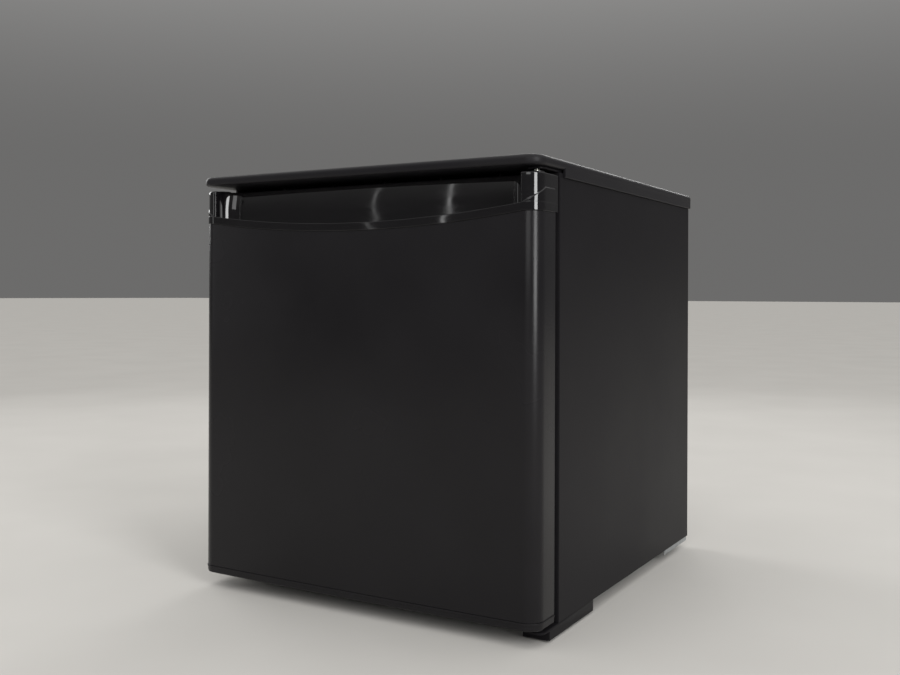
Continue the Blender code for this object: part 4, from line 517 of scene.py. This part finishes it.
# trim: the handle's edge is a shallow smile that runs level round the corners; behind it lies the scoop, with
# a block beside each end. "wall" is the depth at its foot, waist and top as a share of the scoop's, and each
# waist lies at a share of the height above the edge
trimShape = {
    "ridgeDrop": 44.9, "sag": 14.5, "ridgeEnd": 0.9, "band": 8.8, "proud": 0.8, "tongue": 1.1, "rearGap": 1.8,
    "scoopHalf": 205.8, "scoopDepth": 25.0, "scoopCorner": 20.0, "lipEdge": 0.9, "lip": 3.6, "ease": 0.3,
    "scoopDrop": 11.6, "wall": (1.01, 0.985, 1.10), "waist": 0.42, "ledge": 4.5,
    "edge": 1.0, "blockStart": 0.25, "blockWaist": 0.75, "blockInset": 0.8,
    "creaseStart": 0.6, "creaseRise": 14.5, "creaseCurve": 1.2, "creaseReach": 0.7, "creaseFade": 5.0,
    "creaseStep": 0.4, "creaseTop": 2.5,
    "rounding": [0, 0.15, 0.35, 0.7, 0.15, 1.3, 5.0, 8.5, 14.0, 1.8, 0], "roundingSteps": 6,
    "turnPoints": 14, "flatPoints": 61, "edgePoints": 6,
}
# rim behind the trim; outer and inner are the way in from the side, the way down, and the corner's radius
rimShape = {"outer": (0.1, 0.2, 1.4), "inner": (2.5, 2.5, 0.6), "footLift": 0.4, "start": 1.0, "cut": 0.4}


def ridgeHeight(x):
    # lowest + sag * (|x| / end)^2, level beyond the end
    end = doorHalf - trimShape["ridgeEnd"] * doorShape["corner"]
    return trimHigh[2] - trimShape["ridgeDrop"] + trimShape["sag"] * (np.minimum(abs(x), end) / end) ** 2


def trimRim(rear):
    # one wall that runs up the side, across the top and down
    r = rimShape
    foot = ridgeHeight(doorHalf) - trimShape["band"] + r["footLift"]
    paths = []
    for inset, drop, corner in (r["outer"], r["inner"]):
        reach, crown = doorHalf - inset, trimHigh[2] - drop
        paths.append(roundedPath([(reach, foot), (reach, crown), (-reach, crown), (-reach, foot)], corner))
    return wall(*paths, rear - r["start"], trimHigh[1], (r["cut"], r["cut"]), 1)


def makeTrim():
    t = trimShape
    half, flat = t["scoopHalf"], t["scoopHalf"] - t["scoopCorner"]
    # places across the face: even steps, closer ones where the scoop's ends turn, a few on each block's edge
    turning = flat + t["scoopCorner"] * np.sin(np.radians(np.linspace(0, 90, t["turnPoints"])))
    even = np.linspace(-flat, flat, t["flatPoints"])[1:-1]
    inside = np.concatenate([turning[::-1], even[::-1], -turning])
    rounding = t["edge"] * (1 - np.cos(np.radians(np.linspace(0, 90, t["edgePoints"]))))
    block = np.concatenate([[doorTurnX - t["blockInset"]], (half + rounding)[::-1]])
    faceX = np.concatenate([block, inside, -block[::-1]])
    rear = doorEdge - t["rearGap"]
    spots, out = doorStations(rear, faceX)
    before = (len(spots) - len(faceX)) // 2 + len(block)
    scooped = np.zeros(len(spots), bool)
    scooped[before:before + len(inside)] = True
    x, top = spots[:, 0], trimHigh[2]
    ridge = ridgeHeight(x)
    span = top - ridge
    into = np.clip(abs(x) - flat, 0, t["scoopCorner"])
    depth = t["scoopDepth"] - t["scoopCorner"] + np.sqrt(t["scoopCorner"] ** 2 - into ** 2)
    # the block's upright edge beside the scoop: a quarter circle of radius "edge"
    near = np.clip(half + t["edge"] - abs(x), 0, t["edge"])
    softened = t["edge"] - np.sqrt(t["edge"] ** 2 - near ** 2)
    # the crease climbs from the ridge round the corner; under it the skin stands a little further out
    around = np.degrees(np.arctan2(abs(out[:, 0]), -out[:, 1])) / 90
    crease = ridge + t["creaseStart"] + t["creaseRise"] * around ** t["creaseCurve"]
    flared = t["creaseReach"] * np.clip(around * t["creaseFade"], 0, 1) - softened
    # the section's corners: the band, then the scoop or, at the other stations, the block
    bandLow, floor = ridge - t["band"], ridge - t["scoopDrop"]
    band = [(-t["tongue"], trimLow[2]), (-t["tongue"], bandLow), (t["proud"], bandLow), (t["proud"], ridge)]
    wallFoot, wallWaist, wallTop = [-depth * share for share in t["wall"]]
    scoop = [
        (-t["lipEdge"], ridge - t["ease"] / 2), (-t["lip"], ridge - t["ease"]),
        (-t["lip"] - t["ease"], floor), (wallFoot, floor - t["ease"]),
        (wallWaist, ridge + t["waist"] * span), (wallTop, top), (wallTop - t["ledge"], top),
    ]
    block = [
        (flared, ridge + t["blockStart"]), (flared, crease - t["creaseStep"]),
        (-softened, crease + t["creaseStep"]), (-softened, crease + t["creaseTop"]),
        (-softened, ridge + t["blockWaist"] * span), (-softened, top), (-softened - t["ledge"], top),
    ]
    corners = np.where(scooped[:, None, None], atStations(band + scoop, x), atStations(band + block, x))
    profile = roundCorners(corners, t["rounding"], t["roundingSteps"])
    rings = doorRings(spots, out, profile, [(-1, rear, top), (-1, rear, trimLow[2])])
    ledgeEnd = rings[:, -3, 1]
    ledgeEnd[:] = np.minimum(ledgeEnd, rear)
    make("doorTopTrim", [skin(rings), trimRim(rear)], "door", "gloss_black", ["door_top_trim"], 28)


# steel of the door: its gauge, the gap under the trim's band, and the small radius of its folds
sheetShape = {"gauge": 0.8, "gap": 0.3, "fold": 0.35, "foldSteps": 3}


def makeDoorSkin():
    # bowed sheet with its edges folded over
    s = sheetShape
    spots, out = doorStations(doorEdge)
    x = spots[:, 0]
    low, high = panelLow[2], ridgeHeight(x) - trimShape["band"] - s["gap"]
    corners = atStations([(-s["gauge"], low), (0.0, low), (0.0, high), (-s["gauge"], high)], x)
    profile = roundCorners(corners, [0, s["fold"], s["fold"], 0], s["foldSteps"], True)
    paint = texturedBlackPaint("prepaintedDoorBlack", 0.2, 0.24)
    make("doorSkin", [skin(doorRings(spots, out, profile))], "door", "black_steel", ["door_panel"], 40, paint)


# cap under the door: a rounded foot, a fine bead where it meets the steel, a tongue inside
capShape = {
    "sole": 4.6, "draft": 0.2, "bead": 2.2, "beadStep": 0.15, "proud": 0.6, "tongue": 8.0, "inner": 1.1,
    "tongueWall": 3.0, "rearGap": 1.8, "rounding": [0, 2.4, 0.15, 0.3, 0.3, 0.1, 0.3, 0], "roundingSteps": 5,
}


def makeBottomCap():
    c = capShape
    low, tongueHigh = capLow[2], capHigh[2]
    capTop = tongueHigh - c["tongue"]
    spots, out = doorStations(doorEdge)
    shape = [
        (-c["sole"], low), (-c["draft"], low), (0.0, capTop - c["bead"]),
        (c["proud"], capTop - c["bead"] + c["beadStep"]), (c["proud"], capTop), (-c["inner"], capTop),
        (-c["inner"], tongueHigh), (-c["inner"] - c["tongueWall"], tongueHigh),
    ]
    profile = roundCorners(atStations(shape, spots[:, 0]), c["rounding"], c["roundingSteps"])
    tongueRear = doorEdge - c["rearGap"]
    rings = doorRings(spots, out, profile, [
        (-1, tongueRear, tongueHigh), (-1, tongueRear, capTop), (-1, doorEdge, capTop), (0, doorEdge, low),
    ])
    depth, onTongue = rings[:, :, 1], rings[:, :, 2] > capTop + 0.01
    depth[onTongue] = np.minimum(depth[onTongue], tongueRear)
    make("doorBottomCap", [skin(rings)], "door", "black_moulded", ["door_bottom_cap"])


gasketShape = {"width": 12.0, "corner": 14.0, "cornerSteps": 8, "footRounding": (0.3, 0.4), "rounding": 0.8}


def makeGasket():
    # soft section: flat foot on the door, a fold at each side, a magnet chamber against the cabinet
    g = gasketShape
    low, high = mmBox("door_gasket")
    near, far = low[1], high[1]
    # half of the section from the door to the cabinet: the way in from its side, and its place in depth
    half = [
        (0.0, near), (0.0, near + 1.6), (2.4, near + 2.6), (2.6, near + 4.2), (0.3, near + 5.6),
        (0.2, near + 7.0), (1.4, near + 7.6), (0.3, far - 1.6), (0.6, far),
    ]
    shape = half + [(g["width"] - a, y) for a, y in half[::-1]]
    foot = g["footRounding"]
    cuts = [*foot, *[g["rounding"]] * (len(shape) - 4), *foot[::-1]]
    section = roundCorners(np.array(shape)[None], cuts, 3, True)[0]
    rings = []
    for inset, y in section:
        x0, x1, z0, z1 = low[0] + inset, high[0] - inset, low[2] + inset, high[2] - inset
        path = rectanglePath(x0, x1, z0, z1, g["corner"] - inset, g["cornerSteps"])
        rings.append(np.insert(path, 1, y, axis=1))
    make("doorGasket", [skin(rings, True)], "door", "gasket_grey", ["door_gasket"], 35)


# worktop: one slab with a rounded nose, a skirt round its sides and back, ribs in its hollow
topShape = {
    "corner": 18.0, "rearCorner": 2.4, "nose": 5.0, "chin": 3.2, "edge": 10.7, "wall": 2.5, "overhang": 56.5,
    "margin": 2.8, "hollowStart": 12.0, "skirtDrop": 7.8, "skirtRoot": 4.2, "skirtStart": 8.0,
    "skirtInset": 0.1, "skirtCuts": (0.5, 0.4), "ribs": 5, "ribDrop": 2.7,
    "frontPoints": 15, "rearPoints": 5, "edgePoints": 9,
}


def makeWorktop():
    s = topShape
    low, high = mmBox("worktop")
    half, front, back, top = high[0], low[1], high[1], high[2]
    under = top - s["edge"]
    cabinetFront = front + s["overhang"]

    def plan(inset):
        # outline at one inset: front corners of radius corner - inset, rear ones of radius rearCorner - inset
        big, small = s["corner"] - inset, max(s["rearCorner"] - inset, s["rearCorner"] / 4)
        a, b, nose = half - inset, back - inset, front + inset + big
        turns = np.radians(np.linspace(0, 90, s["frontPoints"]))
        few = np.radians(np.linspace(0, 90, s["rearPoints"]))
        arcs = [
            (a - big, nose, big, turns - np.pi / 2), (a - small, b - small, small, few),
            (small - a, b - small, small, few + np.pi / 2), (big - a, nose, big, turns + np.pi),
        ]
        arcs = [np.stack([cx + r * np.cos(t), cy + r * np.sin(t)], 1) for cx, cy, r, t in arcs]
        return np.concatenate(arcs)

    def ring(flat, z):
        return np.insert(flat, 2, z, axis=1)

    # the slab, from its hollow, an outline stretched until it fills its room, over chin and nose to the top
    hollow = plan(0.0)
    room = half - s["margin"] - s["wall"]
    hollowBack = back - s["margin"] - s["wall"]
    hollow[:, 0] = np.clip(hollow[:, 0] * 2, -room, room)
    hollow[:, 1] = np.clip(hollow[:, 1], cabinetFront + s["hollowStart"], hollowBack)
    arc = np.radians(np.linspace(0, 90, s["edgePoints"]))
    rings = [ring(hollow, top - s["wall"]), ring(hollow, under)]
    rings += [ring(plan(s["chin"] * (1 - np.sin(a))), under + s["chin"] * (1 - np.cos(a))) for a in arc[::2]]
    rings += [ring(plan(s["nose"] * (1 - np.cos(a))), top - s["nose"] * (1 - np.sin(a))) for a in arc]
    slab = skin(rings)

    # the skirt along both sides and round the two rear corners
    start = cabinetFront + s["skirtStart"]
    rear = slice(s["frontPoints"], s["frontPoints"] + 2 * s["rearPoints"])
    outer, inner = [
        np.concatenate([[(half - inset, start)], plan(inset)[rear], [(inset - half, start)]])
        for inset in (s["skirtInset"], s["wall"])
    ]
    skirt = wall(outer, inner, under + s["skirtRoot"], under - s["skirtDrop"], s["skirtCuts"], 2)

    # ribs a third of the half width apart
    ribs = []
    pitch, w = (half - s["margin"]) / 3, s["wall"] / 2
    y0, y1 = cabinetFront + s["hollowStart"] - s["wall"], hollowBack + w
    for i in range(s["ribs"]):
        x = (i - (s["ribs"] - 1) / 2) * pitch
        flat = np.array([(x - w, y0), (x + w, y0), (x + w, y1), (x - w, y1)])
        ribs.append(skin([ring(flat, z) for z in (under - s["ribDrop"], top - w)]))
    finish = mouldedWorktop()
    make("worktop", [slab, skirt] + ribs, "cabinet", "black_moulded", ["worktop"], 35, finish)


# wires by their radius, with the brace's drop as a share of a cross wire's
shelfShape = {
    "frame": 2.5, "cross": 1.5, "pitch": 26.0, "corner": 12.0, "cornerSteps": 8, "braceDrop": 1.5,
    "frameSides": 14, "crossSides": 10,
}


def makeShelves():
    # plastic-dipped wires: one frame wire, cross wires let into it, one brace beneath
    w = shelfShape
    for node in ("full_shelf", "half_shelf"):
        low, high = mmBox(node)
        r = w["frame"]
        z, half = high[2] - r, high[0] - r
        y0, y1 = low[1] + r, high[1] - r
        loop = rectanglePath(-half, half, y0, y1, w["corner"], w["cornerSteps"])
        parts = [tube(np.insert(loop, 2, z, axis=1), r, w["frameSides"], True)]
        count = int((2 * half - 2 * w["corner"]) / w["pitch"])
        level = z + r - w["cross"]
        for i in range(count + 1):
            x = (i - count / 2) * w["pitch"]
            parts.append(tube([(x, y0, level), (x, y1, level)], w["cross"], w["crossSides"]))
        middle, brace = (y0 + y1) / 2, level - w["braceDrop"] * w["cross"]
        parts.append(tube([(-half, middle, brace), (half, middle, brace)], w["cross"], w["crossSides"]))
        make(node.replace("_s", "S"), parts, "cabinet", "white_wire", [node], 50)


railShape = {
    "wire": 2.5, "sides": 14, "start": 10.0, "corner": 14.0, "cornerSteps": 8,
    "pad": 16.0, "padCorner": 2.0, "padSteps": 4,
}


def makeBottleRail():
    # a wire bent round two corners, with a flat pad on each end
    w = railShape
    low, high = mmBox("bottle_rail")
    r = w["wire"]
    z = (low[2] + high[2]) / 2
    half, back, out = high[0] - r, low[1] + w["start"], high[1] - r
    corners = [(-half, back, z), (-half, out, z), (half, out, z), (half, back, z)]
    parts = [tube(roundedPath(corners, w["corner"], w["cornerSteps"]), r, w["sides"])]
    flat = rectanglePath(low[1], low[1] + w["pad"], low[2], high[2], w["padCorner"], w["padSteps"])
    for side in (-1, 1):
        parts.append(skin([np.insert(flat, 0, side * x, axis=1) for x in (high[0], half - r)]))
    make("bottleRail", parts, "door", "white_wire", ["bottle_rail"], 50)


# compressor: "stretch" widens it along x, and the seam lies at a share of the height
compressorShape = {
    "radius": 52.0, "stretch": 1.18, "gauge": 2.5, "seam": 0.55, "points": 64,
    "footHalf": (64.0, 44.0), "footCorner": 8.0, "footSteps": 5, "footCut": 0.5,
    "rounding": [0, 6, 14, 1.2, 1.2, 1.2, 1.2, 14, 14, 10, 0], "roundingSteps": 5,
}


def makeCompressor():
    # two drawn cups welded at the rim, on a pressed foot plate
    c = compressorShape
    low, high = mmBox("compressor")
    centre = ((low + high) / 2)[:2]
    floor, top = low[2] + c["gauge"] / 2, high[2]
    r = c["radius"]
    rim = low[2] + c["seam"] * (top - low[2])
    # the cups' corners as (share of the radius, height), from the middle below to the middle above
    shape = [
        (0.0, floor), (0.62, floor), (0.93, floor + 18), (0.97, rim - 4), (1.0, rim - 3), (1.0, rim + 3),
        (0.97, rim + 4), (0.955, top - 30), (0.80, top - 6), (0.38, top), (0.0, top),
    ]
    corners = np.array([[(r * share, z) for share, z in shape]])
    profile = roundCorners(corners, c["rounding"], c["roundingSteps"])[0]
    turns = np.linspace(0, 2 * np.pi, c["points"], endpoint=False)
    around = np.stack([c["stretch"] * np.cos(turns), np.sin(turns)], 1)
    rings = [np.insert(centre + a * around, 2, z, axis=1) for a, z in profile]
    (footX, footY), cut = c["footHalf"], c["footCut"]
    plate = []
    for inset, z in ((cut, 0.0), (0.0, cut), (0.0, c["gauge"] - cut), (cut, c["gauge"])):
        a, b = footX - inset, footY - inset
        outline = centre + rectanglePath(-a, a, -b, b, c["footCorner"] - inset, c["footSteps"])
        plate.append(np.insert(outline, 2, low[2] + z, axis=1))
    make("compressorCase", [skin(rings), skin(plate)], "cabinet", "black_paint", ["compressor"], 40)


# dial: "boss", "gripLength" and "figureCircle" are shares of the radius, and the figures' angles are degrees
dialShape = {
    "ribs": 18, "rib": 1.0, "boss": 0.62, "thick": 11.0, "points": 216, "shaft": 3.0,
    "grip": 2.5, "gripLength": 0.8, "gripCorner": 1.8, "gripSteps": 5,
    "figures": 7, "firstFigure": 215.0, "figureSweep": 291.5, "figureSize": 4.2, "figureRaise": 0.1,
    "figureCircle": 0.775, "figureLevel": 5.05,
}


def makeDial():
    # knob with a boss, a grip bar and round ribs: radius(angle) = R - rib * (1 + cos(ribs * angle)) / 2
    d = dialShape
    low, high = mmBox("thermostat_dial")
    centre = (low[[0, 2]] + high[[0, 2]]) / 2
    radius = (high[0] - low[0]) / 2
    front = low[1]
    back = front + d["thick"]
    turns = np.linspace(0, 2 * np.pi, d["points"], endpoint=False)
    around = np.stack([np.cos(turns), np.sin(turns)], 1)
    ribbed = d["rib"] * (1 + np.cos(d["ribs"] * turns)) / 2

    def turnedRing(share, y, withRibs):
        return np.insert(centre + (radius * share - ribbed * withRibs)[:, None] * around, 1, y, axis=1)

    boss = d["boss"]
    # (share of the radius, place in depth, share of the ribs) from the back to the front of the boss
    levels = [
        (0.90, back, 0.6), (0.985, back - 0.6, 1), (1.0, back - 1.2, 1), (0.985, back - 4.0, 1),
        (0.95, back - 4.8, 0.6), (0.88, back - 5.0, 0), (boss + 0.03, back - 5.0, 0), (boss, back - 5.3, 0),
        (boss - 0.02, back - 8.4, 0), (boss - 0.08, back - 8.8, 0), (0.0, back - 8.8, 0),
    ]
    knob = skin([turnedRing(*level) for level in levels])
    w, long = d["grip"], radius * d["gripLength"]
    outline = rectanglePath(-w, w, -long, long, d["gripCorner"], d["gripSteps"])
    grip = skin([
        np.insert(centre + outline * scale, 1, y, axis=1)
        for scale, y in ((1.0, back - 3.3), (0.98, front + 1.0), (0.93, front + 0.25), (0.85, front))
    ])
    shaft = skin([np.insert(centre + d["shaft"] * around[::6], 1, y, axis=1) for y in (back - 1.0, high[1])])
    make("thermostatKnob", [knob, grip, shaft], "dial", "white_liner", ["thermostat_dial"], 35)
    angles = d["firstFigure"] - np.linspace(0, d["figureSweep"], d["figures"])
    figures = [printedFigure(str(i + 1), centre, radius, back, angle) for i, angle in enumerate(angles)]
    pattern, tone = {"speck": dict(noise, size=0.3)}, ("speck", "#53565a", "#63666a")
    ink = makeFinish("printedGreyInk", pattern, tone, values={"Roughness": 0.5})
    make("dialFigures", figures, "dial", "white_liner", finish=ink)


def printedFigure(text, centre, radius, back, degrees):
    # (points, faces) of one figure at its angle round the grip, raised a tenth of a millimetre
    d = dialShape
    turn = math.radians(degrees)
    curve = bpy.data.curves.new("figure", "FONT")
    curve.body = text
    curve.size = d["figureSize"] / 1000
    curve.extrude = d["figureRaise"] / 1000
    curve.align_x, curve.align_y = "CENTER", "CENTER"
    holder = bpy.data.objects.new("figure", curve)
    mesh = bpy.data.meshes.new_from_object(holder)
    points = np.empty(len(mesh.vertices) * 3)
    mesh.vertices.foreach_get("co", points)
    right, up, out = points.reshape(-1, 3).T * 1000
    faces = [list(p.vertices) for p in mesh.polygons]
    at = centre + radius * d["figureCircle"] * np.array([math.cos(turn), math.sin(turn)])
    lean = turn - math.pi / 2
    x = at[0] + right * math.cos(lean) - up * math.sin(lean)
    z = at[1] + right * math.sin(lean) + up * math.cos(lean)
    bpy.data.objects.remove(holder)
    bpy.data.curves.remove(curve)
    bpy.data.meshes.remove(mesh)
    return np.stack([x, back - d["figureLevel"] - out, z], 1), faces


# screws: domed heads with a cross recess
screwShape = {
    "radius": 3.4, "height": 1.7, "fall": 0.85, "recess": 1.3, "arm": 0.55, "reach": 1.9, "points": 48,
}
# where they sit: in from the back panel's edges, and from the bracket's ends along x and its rear along y
screwPlaces = {
    "margin": 12.0, "sunk": 0.1, "bracketSheet": 2.2, "fromEnds": (9.0, 10.0), "fromRear": (12.0, 40.0),
}


def screwHead(spot, facing):
    # domed head on a polar grid: height * sqrt(1 - fall * (r / radius)^2), less the recess inside a cross
    s = screwShape
    # the rings' shares of the radius; the last is the foot of the rim
    radii = np.array([0, 0.15, 0.3, 0.4, 0.5, 0.58, 0.66, 0.78, 0.9, 0.98, 1.0, 1.0]) * s["radius"]
    turns = np.linspace(0, 2 * np.pi, s["points"], endpoint=False)
    rr, tt = np.meshgrid(radii, turns, indexing="ij")
    a, b = rr * np.cos(tt), rr * np.sin(tt)
    dome = s["height"] * np.sqrt(1 - s["fall"] * (rr / s["radius"]) ** 2)
    arms = np.minimum(abs(a), abs(b)) < s["arm"]
    height = dome - s["recess"] * (arms & (rr < s["reach"]))
    height[-1] = 0.0
    facing = np.array(facing, float)
    side = np.cross(facing, (0.0, 0.0, 1.0) if abs(facing[2]) < 0.5 else (1.0, 0.0, 0.0))
    up = np.cross(side, facing)
    return skin(np.array(spot) + a[..., None] * side + b[..., None] * up + height[..., None] * facing)


def makeScrews():
    p = screwPlaces
    low, high = mmBox("back_panel")
    y = mmBox("cabinet_shell")[1][1] - p["sunk"]
    (left, _, bottom), (right, _, top) = low + p["margin"], high - p["margin"]
    places = [(x, z) for x in (left, 0.0, right) for z in (bottom, top)]
    places += [(x, (bottom + top) / 2) for x in (left, right)]
    make("backScrews", [screwHead((x, y, z), (0, 1, 0)) for x, z in places], "cabinet", "zinc_steel", (), 40)
    low, high = mmBox("hinge_bracket_lower")
    under = high[2] - p["bracketSheet"]
    heads = [
        screwHead((x, high[1] - inset, under), (0, 0, -1))
        for x in (low[0] + p["fromEnds"][0], high[0] - p["fromEnds"][1]) for inset in p["fromRear"]
    ]
    make("bracketScrews", heads, "cabinet", "zinc_steel", (), 40)


for step in (
    makeTrim, makeDoorSkin, makeBottomCap, makeGasket, makeWorktop, makeShelves, makeBottleRail,
    makeCompressor, makeDial, makeScrews,
):
    step()
    print("piece finished:", step.__name__)

# every solid without a piece of its own above is shown refined. The number is the rounding of its edges in
# mm, and a solid that isn't named here keeps its edges
edgeRounding = {
    "cold_plate": 0.4, "drip_trough": 0.3, "evaporation_tray": 0.4, "thermostat_housing": 0.5,
    "thermostat_switch": 0.3, "compressor_base_plate": 0.3, "cord_gland": 0.3, "front_plinth": 0.3,
    "foot_bracket_left": 0.2, "hinge_bracket_lower": 0.2, "hinge_bracket_upper": 0.3, "bottle_bin": 0.5,
    "can_dispenser": 0.5, "upper_bin": 0.5,
}
others = sorted(set(nodes) - ownPiece)
for node in others:
    dress(node + "Shape", refinedCopy(node, edgeRounding.get(node, 0.0)), bodyOf[node], slotOf[node], [node])
print("solids refined:", len(others))


def makeStage():
    # pale floor, wide enough for every view
    half = 60.0
    corners = [(-half, -half, 0), (half, -half, 0), (half, half, 0), (-half, half, 0)]
    mesh = bpy.data.meshes.new("floor")
    mesh.from_pydata(corners, [], [(0, 1, 2, 3)])
    floor = bpy.data.objects.new("floor", mesh)
    bpy.context.scene.collection.objects.link(floor)
    mesh.materials.append(makeFinish(
        "paleFloor", {"cloud": dict(noise, size=120, detail=3.0)}, ("cloud", "#c0beba", "#c4c2be"),
        values={"Roughness": 0.75, "Specular IOR Level": 0.0},
    ))


room = {"low": 0.15, "high": 1.15, "horizon": 0.12, "zenith": 0.95, "colour": (1, 0.99, 0.975, 1)}


def makeWorld():
    # bright ceiling over a grey room: strength = low + (high - low) * smooth step of the direction's height
    world = bpy.data.worlds.new("room")
    world.use_nodes = True
    tree = world.node_tree
    tree.nodes.clear()
    way = addNode(tree, "ShaderNodeTexCoord")
    parts = addNode(tree, "ShaderNodeSeparateXYZ", None, {"Vector": (way, "Generated")})
    limits = {
        "interpolation_type": "SMOOTHSTEP", "From Min": room["horizon"], "From Max": room["zenith"],
        "To Min": room["low"], "To Max": room["high"],
    }
    level = addNode(tree, "ShaderNodeMapRange", limits, {"Value": (parts, "Z")})
    lit = addNode(tree, "ShaderNodeBackground", {"Color": room["colour"]}, {"Strength": (level, "Result")})
    addNode(tree, "ShaderNodeOutputWorld", None, {"Surface": (lit, "Background")})
    bpy.context.scene.world = world


# a window-like panel at the front right, softer ones in front, behind and on the left, and thin strips for
# the glossy trim. Each has its direction in degrees from straight ahead of the door towards its hinge side,
# its distance, lower edge, upper edge and width in metres, its radiance, and its lean in degrees
panels = {
    "window": (64, 3.4, 0.45, 2.80, 1.20, 5.4, 0),
    "frontPanel": (14, 3.6, 1.00, 3.00, 1.80, 1.3, 0),
    "rearPanel": (196, 3.4, 0.80, 2.80, 1.60, 1.8, 0),
    "leftPanel": (-108, 3.4, 0.80, 2.80, 1.60, 1.8, 0),
    "stripNear": (-29.6, 3.2, 0.30, 2.20, 0.016, 2.0, 6.5),
    "stripMiddle": (-36.1, 3.2, 0.30, 2.20, 0.014, 0.9, 6.5),
    "stripFar": (-52.0, 3.2, 0.30, 2.20, 0.30, 0.5, 0),
}
panelSpread = 120                  # degrees, as with a grid that keeps a panel's light off the floor below it
panelCentre = (0.1, -0.15, 0.0)    # the panels stand round this point


def makePanels():
    for name, (turn, distance, low, high, width, radiance, lean) in panels.items():
        data = bpy.data.lights.new(name, "AREA")
        data.shape = "RECTANGLE"
        data.size, data.size_y = width, high - low
        data.energy = radiance * math.pi * width * (high - low)
        data.spread = math.radians(panelSpread)
        lamp = bpy.data.objects.new(name, data)
        out = Vector((math.sin(math.radians(turn)), -math.cos(math.radians(turn)), 0.0))
        lamp.location = Vector(panelCentre) + out * distance + Vector((0, 0, (low + high) / 2))
        lamp.rotation_euler = out.to_track_quat("Z", "Y").to_euler()
        lamp.rotation_euler.rotate_axis("Z", math.radians(lean))
        lamp.visible_camera = False
        bpy.context.scene.collection.objects.link(lamp)


makeStage()
makeWorld()
makePanels()
print("stage and lamps ready")
